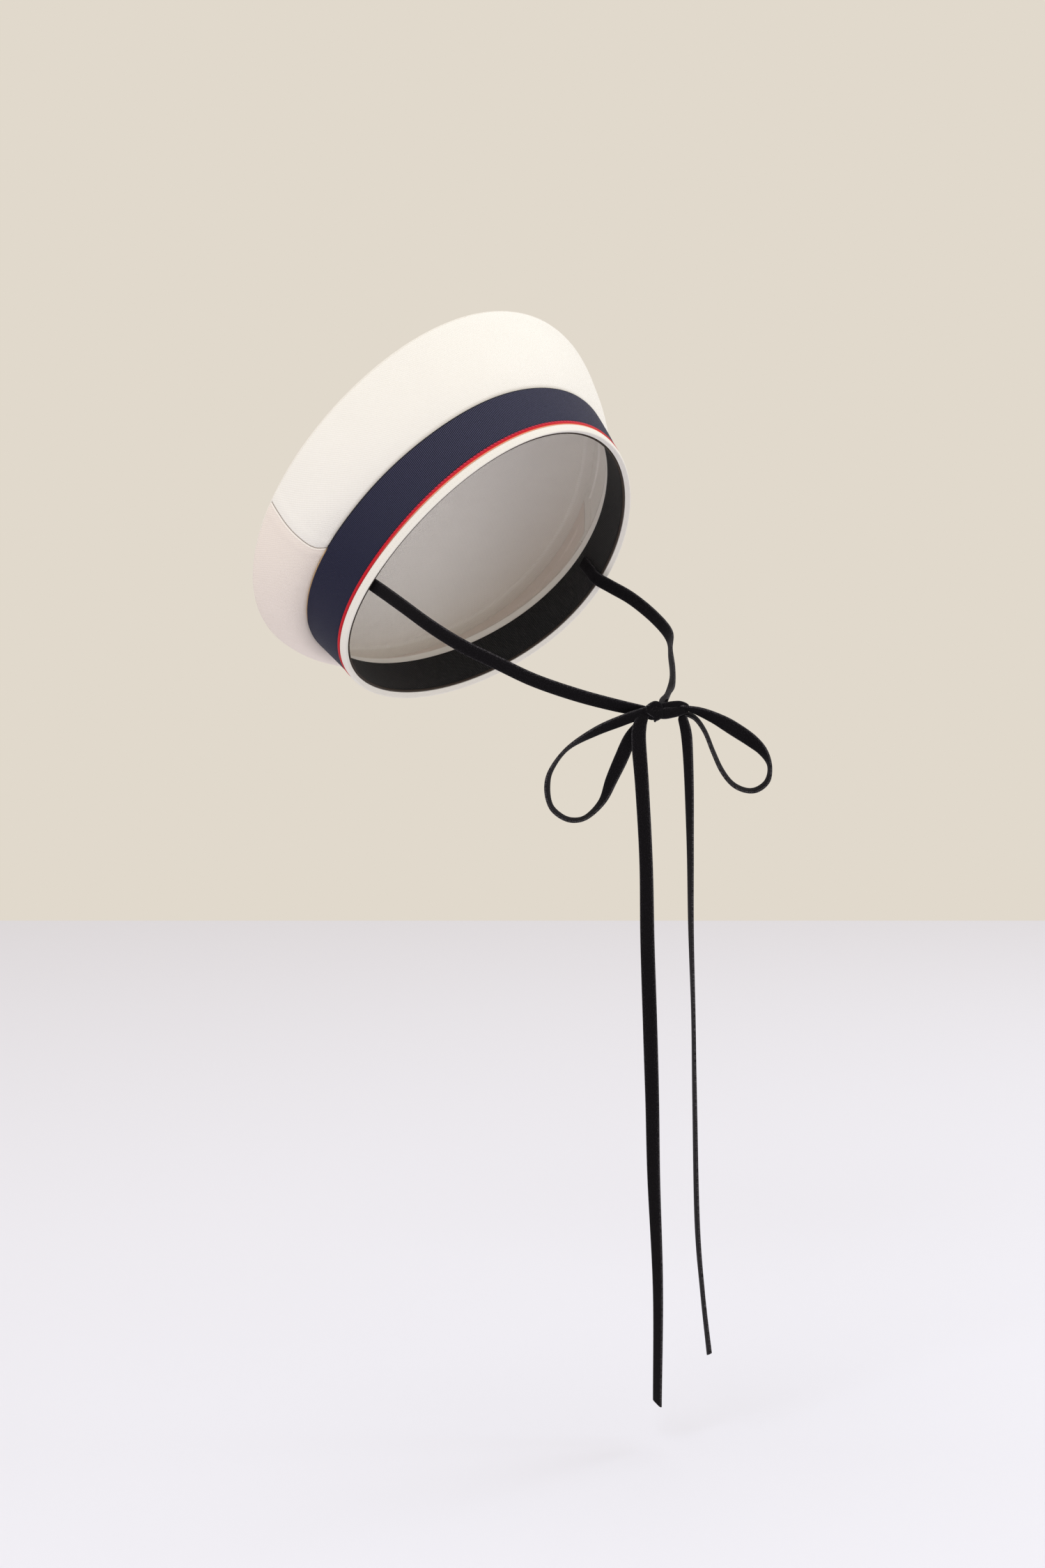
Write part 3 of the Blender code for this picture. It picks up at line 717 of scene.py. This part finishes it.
# Strands of the knot: rows across, out, up, half height and half depth, in millimetres
knotStrands = {
    "lump": ((-4.2, 0.4, -2.6, 1.9, 1.4), (-3.4, 0.9, -1.9, 3.4, 2.5), (-2.0, 1.3, -0.8, 4.7, 3.4),
             (0.2, 1.4, -0.3, 5.4, 3.8), (2.2, 1.0, -0.5, 4.7, 3.3), (3.6, 0.4, -0.6, 2.8, 2.1)),
    "curl": ((-2.6, 2.9, 1.2, 1.1, 1.0), (-1.9, 3.6, 2.9, 1.5, 1.2), (-0.3, 3.8, 3.9, 1.5, 1.2),
             (1.6, 3.3, 3.3, 1.5, 1.2), (2.9, 2.5, 1.2, 1.3, 1.0), (3.2, 1.8, -1.6, 0.9, 0.8)),
    "tuck": ((-5.8, 1.6, 0.9, 0.7, 0.7), (-4.4, 2.9, 0.7, 1.2, 1.0), (-2.9, 4.0, 0.0, 1.5, 1.1),
             (-1.3, 4.2, -1.2, 1.5, 1.1), (0.0, 3.5, -2.4, 1.2, 0.9), (1.0, 2.2, -3.2, 0.8, 0.7)),
    "lower": ((1.4, 1.6, -1.5, 2.3, 1.2), (5.2, 2.2, -1.2, 2.9, 1.3), (9.4, 2.0, -0.8, 2.7, 1.2),
              (13.6, 1.4, -0.3, 2.3, 1.1), (17.6, 0.6, 0.2, 1.4, 0.9)),
    "upper": ((1.6, 0.9, 2.2, 1.3, 1.0), (5.4, 1.5, 2.8, 1.7, 1.1), (9.6, 1.7, 3.3, 1.9, 1.1),
              (13.4, 1.4, 3.3, 1.9, 1.1), (16.8, 0.7, 2.4, 1.5, 1.0), (18.2, 0.0, 1.4, 0.9, 0.8)),
    "behind": ((-2.4, -1.4, -0.4, 2.2, 1.2), (3.0, -1.6, 0.2, 2.6, 1.3), (9.0, -1.4, 0.6, 2.6, 1.2),
               (14.0, -1.0, 0.8, 2.2, 1.1), (17.0, -0.6, 0.6, 1.4, 0.9)),
}
# Folds of the strands: waves round the girth, their height as a share of it and their twist
knotFolds = {
    "lump": (3, 0.065, 3.0), "curl": (2, 0.100, 2.0), "tuck": (3, 0.110, 2.0),
    "lower": (2, 0.050, 1.0), "upper": (3, 0.070, 1.2), "behind": (2, 0.050, 1.0),
}
knotMesh = {"rings": 60, "sides": 40}


# Each strand is an oval carried along its rows, swollen and sunken by two waves round its girth
def makeKnot(velvet):
    axes = bowAxes()
    pieces = []
    for name, route in knotStrands.items():
        waves, height, twist = knotFolds[name]
        rows = smoothRows(route, knotMesh["rings"])
        turn = np.linspace(0.0, 2 * pi, knotMesh["sides"], endpoint=False)
        along = np.linspace(0.0, 1.0, len(rows))[:, None]
        fold = 1.0 + height * np.sin(waves * turn + twist * 2.0 * along + len(name))
        fold += 0.4 * height * np.sin((waves + 3) * turn - twist * 3.0 * along)
        up = rows[:, 3:4] * np.sin(turn) * fold
        out = rows[:, 4:5] * np.cos(turn) * fold
        centres = rows[:, :3]
        front = faced(centres, np.broadcast_to((0.0, 1.0, 0.0), centres.shape))
        across = np.cross(lineOf(centres), front)
        local = (centres[:, None] + front[:, None] * out[..., None]
                 + across[:, None] * up[..., None])
        points = np.array(velvetRibbon["knot"]) + local * millimetre @ axes
        girth = np.sin(np.linspace(0.0, 2 * pi, len(turn) + 1)) * velvetFacts["halfWidth"]
        cloth = np.stack(np.meshgrid(runs(centres, 0), girth, indexing="ij"), axis=-1)
        pieces.append(buildSurface("knot_" + name, points, cloth, wrapColumns=True, ends="fan"))
    for piece in pieces:
        fitPiece(piece, velvet, "black_velvet")
    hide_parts("bow_knot")
    return pieces


# Goes through the ribbons, working out each one's exit point and every third centre, and keeps none
# of it
def declareTies(ties, knot):
    for piece, centres, length, side in ties.values():
        exitPoint = np.array(velvetRibbon["exit"]) * (side, 1.0, 1.0)
        [tuple(point) for point in centres[::3]] + [tuple(centres[-1])]
        knot if side < 0 else ()


ties, velvet = makeTies()
knotPieces = makeKnot(velvet)
declareTies(ties, knotPieces)
print("ties and bow made")

# The cap, in its own frame before it is tilted back: metres, degrees and shares
cap = {
    "tilt": 48.8,
    "gap": 0.0003,  # between pieces that lie on each other
    "halfLength": 0.0980, "halfWidth": 0.0865, "egg": 0.08, "saddle": 0.0026,
    "flareEnds": 0.0027, "flareSides": 0.0080,
    "hemHeight": 0.0046, "edgeHeight": 0.0024, "ribbonHeight": 0.0244,
    "ribbonThickness": 0.0010, "bandThickness": 0.0016, "insideThickness": 0.0010,
    "insideHeight": 0.0250, "insideLift": 0.0018,
    "rimOutEnds": 0.0115, "rimOutSides": 0.0212, "rimRise": 0.0306, "rimSlope": 0.171,
    "rimEgg": 0.110, "rimSaddle": 0.0019,
    "wallTuck": 0.0008, "bulgeOut": 0.0038, "bulgeDown": 0.0184, "wallThickness": 0.0018,
    "seamAngle": 93.0,
    "topThickness": 0.0016, "topDome": 0.0110, "topShoulder": 0.0040, "shoulderPower": 8,
}


# Height of the ribbon's upper edge over the hem: the three heights and two gaps
def bandTop():
    return cap["hemHeight"] + cap["edgeHeight"] + cap["ribbonHeight"] + 2 * cap["gap"]


# Turns points of the cap's own frame back by the tilt at which it is worn
def worn(points):
    tilt = radians(cap["tilt"])
    turned = points.copy()
    turned[..., 1] = points[..., 1] * cos(tilt) + points[..., 2] * sin(tilt)
    turned[..., 2] = points[..., 2] * cos(tilt) - points[..., 1] * sin(tilt)
    return turned


# Egg-shaped oval: x = r sin(a) (1 - egg cos(a)), y = -r cos(a), with r the ellipse's radius at a,
# then moved outward along its normal
def oval(angle, halfLength, halfWidth, egg, outward=0.0):
    def plan(turn):
        ahead, aside = np.cos(turn), np.sin(turn)
        radius = 1.0 / np.hypot(ahead / halfLength, aside / halfWidth)
        return np.stack([radius * aside * (1.0 - egg * ahead), -radius * ahead], axis=-1)

    along = unit(plan(angle + 0.001) - plan(angle - 0.001))
    normal = np.stack([along[..., 1], -along[..., 0]], axis=-1)
    return plan(angle) + normal * np.asarray(outward)[..., None]


# A point of the band at a height over the hem and outward of its face; both flare with height
def bandPoint(angle, height, outward):
    share = height / bandTop()
    plan = oval(angle, cap["halfLength"] + cap["flareEnds"] * share,
                cap["halfWidth"] + cap["flareSides"] * share, cap["egg"], outward)
    level = height + cap["saddle"] * np.cos(2 * angle)
    return np.concatenate([plan, level[..., None]], axis=-1)


# A point of the crown's widest line, or inside it at a share of its size
def rimPoint(angle, share):
    plan = oval(angle, cap["halfLength"] + cap["flareEnds"] + cap["rimOutEnds"],
                cap["halfWidth"] + cap["flareSides"] + cap["rimOutSides"],
                cap["rimEgg"]) * share[..., None]
    level = bandTop() + cap["rimRise"] - cap["rimSlope"] * plan[..., 1]
    level = level + cap["rimSaddle"] * np.cos(2 * angle) * share ** 2
    return np.concatenate([plan, level[..., None]], axis=-1)


# The wall: a curve of the second degree from the band's top to the widest line, pulled out and down
def wallFace(angle, share):
    foot = bandPoint(angle, np.full_like(angle, bandTop() + cap["gap"]),
                     np.full_like(angle, -cap["wallTuck"]))
    rim = rimPoint(angle, np.ones_like(angle))
    out = unit(rim * (1.0, 1.0, 0.0))
    pull = 0.5 * (foot + rim) + 0.5 * (out * cap["bulgeOut"]
                                       - np.array((0.0, 0.0, cap["bulgeDown"])))
    share = share[..., None]
    return (1 - share) ** 2 * foot + 2 * share * (1 - share) * pull + share ** 2 * rim


# Shares from 0 to 1 of a length, a fine step apart within a margin of each end, else a coarse one
def gradedShares(length, margin, fine, coarse):
    near = np.arange(0.0, margin, fine)
    middle = np.linspace(margin, length - margin, max(2, round((length - 2 * margin) / coarse)))
    return np.concatenate([near, middle, length - near[::-1]]) / length


# Metres unless a line says otherwise
seamFacts = {
    "groove": 0.0005,  # depth of the furrow along a seam
    "grooveWidth": 0.0005,
    "lip": 0.00018,  # the back panel's ridge beside the side seams
    "lipAt": 0.0008,
    "lipWidth": 0.0004,
    "courseShares": (0.0, 0.22, 0.5, 0.75, 1.0),  # up the wall from the band
    "courseTurns": (1.7, 2.8, 1.9, 0.4, -2.0),  # degrees that the seam lies farther back there
    "courseReach": 14.0,  # degrees on both sides over which the cloth follows
    "rimShare": 0.35,  # how much of that relief the seam at the widest line has
    "swell": 0.0004,  # the cloth rises over the turned edges beneath it
    "swellAt": 0.0042,
    "swellWidth": 0.0030,
    "allowance": 0.0085,  # width of the turned edges inside
    "allowanceLift": 0.0010,
    "allowanceSlope": 0.0007,  # width over which they rise
    "ripple": 0.00035,  # slow waves of the whole wall
}


# Outside relief at a distance from a seam: a bell-shaped swell beside it less such a furrow on it
def seamRelief(distance):
    return (seamFacts["swell"] * np.exp(-((distance - seamFacts["swellAt"])
                                          / seamFacts["swellWidth"]) ** 2)
            - seamFacts["groove"] * np.exp(-(distance / seamFacts["grooveWidth"]) ** 2))


# Inside relief: the turned edge stands proud up to its width
def allowanceRelief(distance):
    share = np.clip((seamFacts["allowance"] - distance) / seamFacts["allowanceSlope"], 0.0, 1.0)
    return seamFacts["allowanceLift"] * eased(share)


# Length of a panel at half its height, between two angles in degrees, in metres
def panelLength(firstAngle, lastAngle):
    angles = np.radians(np.linspace(firstAngle, lastAngle, 361))
    return float(runs(wallFace(angles, np.full_like(angles, 0.5)), 0)[-1])


# The side seams' course: angles move back by a smooth curve of the share up the wall, times a
# bell of their distance from the seam
def seamCourse(angle, share):
    curve = smoothRows(list(zip(seamFacts["courseShares"], seamFacts["courseTurns"],
                                np.zeros(len(seamFacts["courseShares"])))), 60)
    turn = np.radians(np.interp(share, curve[:, 0], curve[:, 1]))
    side = np.where(angle > pi, angle - 2 * pi, angle)
    away = np.degrees(np.abs(side)) - cap["seamAngle"]
    return angle + np.sign(side) * turn * np.exp(-(away / seamFacts["courseReach"]) ** 2)


# Margins, fine steps and coarse steps of the crown's meshes, in metres
crownMesh = {
    "alongPanel": (0.011, 0.00027, 0.0015),
    "upPanel": (0.010, 0.00045, 0.0012),
    "panelHeight": 0.052,
    "acrossTop": (0.012, 0.00045, 0.0020),
    "topColumns": 420,
    "topPole": 0.012,  # share of the top's reach inside which its pole closes it
}


# A panel of the wall: its face moved along its normal by the seams' relief and slow waves, and an
# inner face that is the wall's thickness and the turned edges deeper
def wallPanel(name, firstAngle, lastAngle, material, node):
    along = gradedShares(panelLength(firstAngle, lastAngle), *crownMesh["alongPanel"])
    shares = gradedShares(crownMesh["panelHeight"], *crownMesh["upPanel"])
    straight, share = np.meshgrid(np.radians(firstAngle + (lastAngle - firstAngle) * along),
                                  shares, indexing="ij")
    angle = seamCourse(straight, share)
    face = wallFace(angle, share)
    step = 0.001
    normal = unit(np.cross(wallFace(angle + step, share) - wallFace(angle - step, share),
                           wallFace(angle, share + step) - wallFace(angle, share - step)))
    ring = runs(wallFace(straight, np.full_like(share, 0.5)), 0)
    rise = runs(face, 1)
    fromSeam = np.minimum(ring, ring[-1:] - ring)
    fromRim = rise[:, -1:] - rise
    wave = seamFacts["ripple"] * np.sin(3 * angle + 1.1) * np.sin(pi * share)
    wave += 0.5 * seamFacts["ripple"] * np.sin(7 * angle + 0.4) * np.sin(pi * share) ** 2
    relief = seamRelief(fromSeam) + seamFacts["rimShare"] * seamRelief(fromRim) + wave
    if node == "crown_back":
        relief += seamFacts["lip"] * np.exp(-((fromSeam - seamFacts["lipAt"])
                                              / seamFacts["lipWidth"]) ** 2)
    outer = face + normal * relief[..., None]
    depth = cap["wallThickness"] + np.maximum(allowanceRelief(fromSeam), allowanceRelief(fromRim))
    inner = face + normal * (wave - depth)[..., None]
    points = worn(np.concatenate([outer, inner[:, ::-1]], axis=1))
    cloth = np.stack([ring, rise], axis=-1) / millimetre
    cloth = np.concatenate([cloth, cloth[:, ::-1]], axis=1)
    cloth = np.concatenate([cloth, cloth[:, :1]], axis=1)
    piece = buildSurface(name, points, cloth, wrapColumns=True, ends="strip")
    return fitPiece(piece, material, "cream_twill", node)


topFacts = {
    "edgeRoll": 0.0011,  # distance over which the cloth rolls up from the seam
    "edgeThin": 0.05,  # share of the thickness that is left at the edge
    "seamAside": 0.0008,  # from the edge to the middle of the seam's furrow
    "lift": 0.00005,  # between the walls' rim and the top
    "ripple": 0.0005,
}


# The top: the rim's plane raised by a dome, 1 less the share squared, and by a quick shoulder, 1
# less the share to a high power, and rolled down into its seam at the edge
def makeTop(material):
    reach = cap["halfLength"] + cap["rimOutEnds"]
    shares = 1.0 - gradedShares(reach, *crownMesh["acrossTop"])
    shares = shares[shares > crownMesh["topPole"]]
    angles = np.linspace(0.0, 2 * pi, crownMesh["topColumns"] + 1)
    share, angle = np.meshgrid(shares, angles, indexing="ij")
    fromRim = (1.0 - share) * reach
    under = rimPoint(angle, share)
    dome = cap["topDome"] * (1 - share ** 2)
    shoulder = cap["topShoulder"] * (1 - share ** cap["shoulderPower"])
    under[..., 2] += topFacts["lift"] + dome + shoulder
    over = under.copy()
    roll = 1.0 - np.exp(-fromRim / topFacts["edgeRoll"])
    thin = topFacts["edgeThin"]
    over[..., 2] += cap["topThickness"] * (thin + (1.0 - thin) * roll)
    over[..., 2] += seamFacts["rimShare"] * seamRelief(fromRim + topFacts["seamAside"])
    over[..., 2] += topFacts["ripple"] * np.sin(2 * angle + 0.7) * share ** 2 * (1 - share ** 6)
    under[..., 2] -= allowanceRelief(fromRim) * np.clip(fromRim / 0.002, 0.0, 1.0)
    grid = np.concatenate([over[::-1], under], axis=0)
    cloth = grid[..., :2] / millimetre
    piece = buildSurface("crownTop", worn(grid[:, :-1]), cloth, wrapColumns=True, ends="fan")
    return fitPiece(piece, material, "cream_twill", "crown_top")


# Steps round the cap of each ring's mesh
ringSteps = {"headBand": 720, "redStripe": 1440, "navyRibbon": 900, "insideBand": 720}


# A ring round the cap: a section of outward distances and heights in millimetres, carried round
# the band's face, which a change may alter from angle to angle. Cloth coordinates: along the ring,
# and the height above the section's own foot.
def bandRing(name, section, change=None):
    steps = ringSteps[name]
    outward, height = np.array(section, dtype=float).T * millimetre
    angles = np.linspace(0.0, 2 * pi, steps, endpoint=False)
    angle, outward = np.meshgrid(angles, outward, indexing="ij")
    height = np.broadcast_to(height, angle.shape)
    grid = bandPoint(angle, *(change(angle, height, outward) if change else (height, outward)))
    run = np.linspace(0.0, ringLength(), steps + 1)
    up = (height[0] - height[0].min()) / millimetre
    cloth = np.stack(np.meshgrid(run, np.append(up, up[0]), indexing="ij"), axis=-1)
    return buildSurface(name, worn(grid), cloth, wrapRows=True, wrapColumns=True)


# Length of the ribbon's middle line round the cap, in millimetres
def ringLength():
    angles = np.linspace(0.0, 2 * pi, 721)
    line = bandPoint(angles, np.full_like(angles, 0.6 * bandTop()), np.zeros_like(angles))
    return float(runs(line, 0)[-1]) / millimetre


# The hem's roll from the inner face round to the ribbon: millimetres outward of the ribbon's face
# and share of the hem's height. Its first two rows are counted from the inner face.
hemRoll = ((0.0, 0.37), (0.8, 0.25), (-1.1, 0.09), (-0.45, 0.0), (-0.02, 0.05), (0.24, 0.28),
           (0.32, 0.56), (0.20, 0.85), (-0.05, 0.97), (-0.45, 1.0))


# The band's section: the hem's roll, a smooth curve, and above it the flat band behind the ribbon
def makeHeadBand():
    hem = cap["hemHeight"] / millimetre
    back = -(cap["ribbonThickness"] + cap["gap"]) / millimetre
    inner = back - cap["bandThickness"] / millimetre
    rows = [(out + (inner if place < 2 else 0.0), share * hem, 0.0)
            for place, (out, share) in enumerate(hemRoll)]
    roll = smoothRows(rows, 30)[:, :2]
    top = bandTop() / millimetre
    section = [*map(tuple, roll), (back, hem), (back, 0.5 * top), (back, top), (inner, top),
               (inner, 0.6 * top), (inner, 0.3 * top)]
    return fitPiece(bandRing("headBand", section), makeHemCloth(), "cream_hem", "head_band")


stripeNarrows = {"from": 30.0, "to": 100.0, "share": 0.42}  # degrees from the front


# Share by which the stripe has narrowed at an angle: a smooth climb from 0 over the front to all
# of it past the sides
def narrowing(angle):
    away = np.degrees(np.abs(np.where(angle > pi, angle - 2 * pi, angle)))
    share = np.clip((away - stripeNarrows["from"]) / (stripeNarrows["to"] - stripeNarrows["from"]),
                    0.0, 1.0)
    return stripeNarrows["share"] * eased(share)


# The stripe's section: a flat line below, and above it the round cord, part of an oval. Its height
# is scaled by what narrowing leaves.
def makeStripe():
    foot = (cap["hemHeight"] + cap["gap"]) / millimetre
    tall = cap["edgeHeight"] / millimetre
    line = redFacts["lineTop"]
    turn = np.linspace(-0.42 * pi, 0.46 * pi, 9)
    middle, half = 0.5 * (line + tall), 0.5 * (tall - line)
    cord = [(0.42 * np.cos(step) - 0.10, foot + middle + half * np.sin(step)) for step in turn]
    section = [(-1.0, foot), (-0.30, foot), (-0.16, foot + 0.10), (-0.12, foot + 0.5 * line),
               (-0.14, foot + line), *cord, (-0.4, foot + tall), (-1.0, foot + tall)]

    def change(angle, height, outward):
        low = foot * millimetre
        return low + (height - low) * (1.0 - narrowing(angle)), outward

    piece = bandRing("redStripe", section, change)
    return fitPiece(piece, makeRedStripe(ringLength()), "red_stripe", "red_edge")


ribbonBand = {
    "bulge": 0.10,  # millimetres that the middle stands out
    "wave": 0.00012,  # metres, waves of the face
    "round": 9,  # of them round the cap
    "lean": 160.0,  # radians to a metre of height
}


# The ribbon's section: a face that bulges as a sine of its height and waves slowly, over a foot
# that comes down where the stripe narrows
def makeRibbonBand():
    foot = (cap["hemHeight"] + cap["edgeHeight"] + 2 * cap["gap"]) / millimetre
    tall = cap["ribbonHeight"] / millimetre
    rise = np.linspace(0.03, 0.97, 16)
    bulge = ribbonBand["bulge"] * np.sin(pi * rise)
    outer = [(out - 0.02, foot + share * tall) for out, share in zip(bulge, rise)]
    section = [(-1.0, foot), (-0.2, foot), *outer, (-0.25, foot + tall), (-1.0, foot + tall),
               (-1.0, foot + 0.5 * tall)]

    def change(angle, height, outward):
        wave = np.sin(ribbonBand["round"] * angle + ribbonBand["lean"] * height)
        outer = np.where(outward > -0.0005, ribbonBand["wave"] * wave, 0.0)
        fall = np.clip(1.0 - (height / millimetre - foot) / (0.5 * tall), 0.0, 1.0)
        return height - fall * narrowing(angle) * cap["edgeHeight"], outward + outer

    piece = bandRing("navyRibbon", section, change)
    return fitPiece(piece, makeNavyRibbon(ringLength(), tall), "navy_grosgrain", "navy_ribbon")


# The inside band's section: an upright strip with its corners taken off
def makeSweatBand():
    outer = -(cap["ribbonThickness"] + cap["bandThickness"] + 2 * cap["gap"]) / millimetre
    inner = outer - cap["insideThickness"] / millimetre
    foot = cap["insideLift"] / millimetre
    tall = cap["insideHeight"] / millimetre
    section = [(outer, foot + 0.2), (outer - 0.2, foot), (inner + 0.25, foot), (inner, foot + 0.3),
               *[(inner, foot + share * tall) for share in (0.15, 0.3, 0.45, 0.6, 0.75, 0.9)],
               (inner, foot + tall - 0.3), (inner + 0.25, foot + tall), (outer - 0.2, foot + tall),
               (outer, foot + tall - 0.2), (outer, foot + 0.5 * tall)]
    piece = bandRing("insideBand", section)
    return fitPiece(piece, makeInsideBand(tall), "black_petersham", "sweat_band")


# Tones of the crown's three panels, shares of red, green and blue; the back's darker tone is
# painted shade
crownTones = {"top": (0.985, 0.975, 0.970), "front": (1.0, 1.0, 1.0), "back": (0.950, 0.885, 0.860)}


# The two wall panels, half a gap short of the side seams, and the top
def makeCrown():
    halfGap = 0.5 * cap["gap"] / (cap["halfWidth"] + cap["flareSides"]) * 180.0 / pi
    front = (halfGap - cap["seamAngle"], cap["seamAngle"] - halfGap)
    back = (cap["seamAngle"] + halfGap, 360.0 - cap["seamAngle"] - halfGap)
    topTwill = makeTwill("topTwill", crownTones["top"])
    frontTwill = makeTwill("frontTwill", crownTones["front"], panelLength(*front) / millimetre)
    # painted shade: the back panel's darker, warmer tone, as it turns away from the light
    backTwill = makeTwill("backTwill", crownTones["back"], panelLength(*back) / millimetre, True)
    wallPanel("crownFront", *front, frontTwill, "crown_front")
    wallPanel("crownBack", *back, backTwill, "crown_back")
    makeTop(topTwill)


makeCrown()
print("crown made")
makeHeadBand()
makeStripe()
makeRibbonBand()
makeSweatBand()
print("band made")

studio = {
    "air": (0.753, 0.694, 0.604),  # the backdrop's beige, which also fills the shade
    "airStrength": 1.0,
    "floorHeight": -0.4575,
    "floorColour": (0.80, 0.80, 0.885),
    "floorRoughness": 0.9,
    "floorGloss": 0.1,
    "floorBack": 1.86,  # metres from the part to the floor's far edge
    "floorFront": 4.5,
    "floorSide": 4.0,
    "aim": (0.0, 0.0, -0.05),  # what the soft boxes face
}
# Soft boxes: place, watts, size and colour
softBoxes = {
    "key": ((-1.9, -0.9, 1.5), 23.0, 1.5, (0.86, 0.93, 1.0)),
    "front": ((0.3, -2.2, 0.9), 4.5, 1.6, (0.82, 0.91, 1.0)),
    "side": ((1.6, -0.8, 1.3), 17.5, 1.6, (0.82, 0.91, 1.0)),
    "above": ((0.1, 0.9, 2.2), 6.0, 1.6, (0.82, 0.91, 1.0)),
}


# A beige surrounding air that also fills the shade
def makeAir():
    scene = bpy.context.scene
    world = bpy.data.worlds.new("studio")
    world.use_nodes = True
    background = world.node_tree.nodes["Background"]
    background.inputs["Color"].default_value = (*studio["air"], 1.0)
    background.inputs["Strength"].default_value = studio["airStrength"]
    scene.world = world
    scene.view_settings.view_transform = "Standard"


# A pale floor, a rectangle whose far edge is square to the camera's heading
def makeFloor():
    heading = radians(cameraFacts["heading"])
    ahead = np.array((-sin(heading), cos(heading), 0.0))
    aside = np.array((cos(heading), sin(heading), 0.0))
    far, near, side = studio["floorBack"], -studio["floorFront"], studio["floorSide"]
    corners = [(*(ahead * out + aside * across)[:2], studio["floorHeight"])
               for out, across in ((far, -side), (far, side), (near, side), (near, -side))]
    mesh = bpy.data.meshes.new("floor")
    mesh.from_pydata(corners, [], [(3, 2, 1, 0)])
    floor = addObject("floor", mesh)
    paint = bpy.data.materials.new("floorPaint")
    paint.use_nodes = True
    shader = paint.node_tree.nodes["Principled BSDF"]
    shader.inputs["Base Color"].default_value = (*studio["floorColour"], 1.0)
    shader.inputs["Roughness"].default_value = studio["floorRoughness"]
    shader.inputs["Specular IOR Level"].default_value = studio["floorGloss"]
    mesh.materials.append(paint)


# Each soft box is turned about Z to the aim's heading and tipped by the angle below the level
def makeSoftBoxes():
    for name, (place, energy, size, colour) in softBoxes.items():
        data = bpy.data.lights.new(name, "AREA")
        data.energy = energy
        data.size = size
        data.color = colour
        lamp = addObject(name, data)
        lamp.location = place
        direction = np.array(studio["aim"]) - np.array(place)
        flat = float(np.hypot(direction[0], direction[1]))
        lamp.rotation_euler = (float(np.arctan2(flat, -direction[2])), 0.0,
                               float(np.arctan2(direction[1], direction[0])) - pi / 2)


makeAir()
makeFloor()
makeSoftBoxes()
print("studio made")
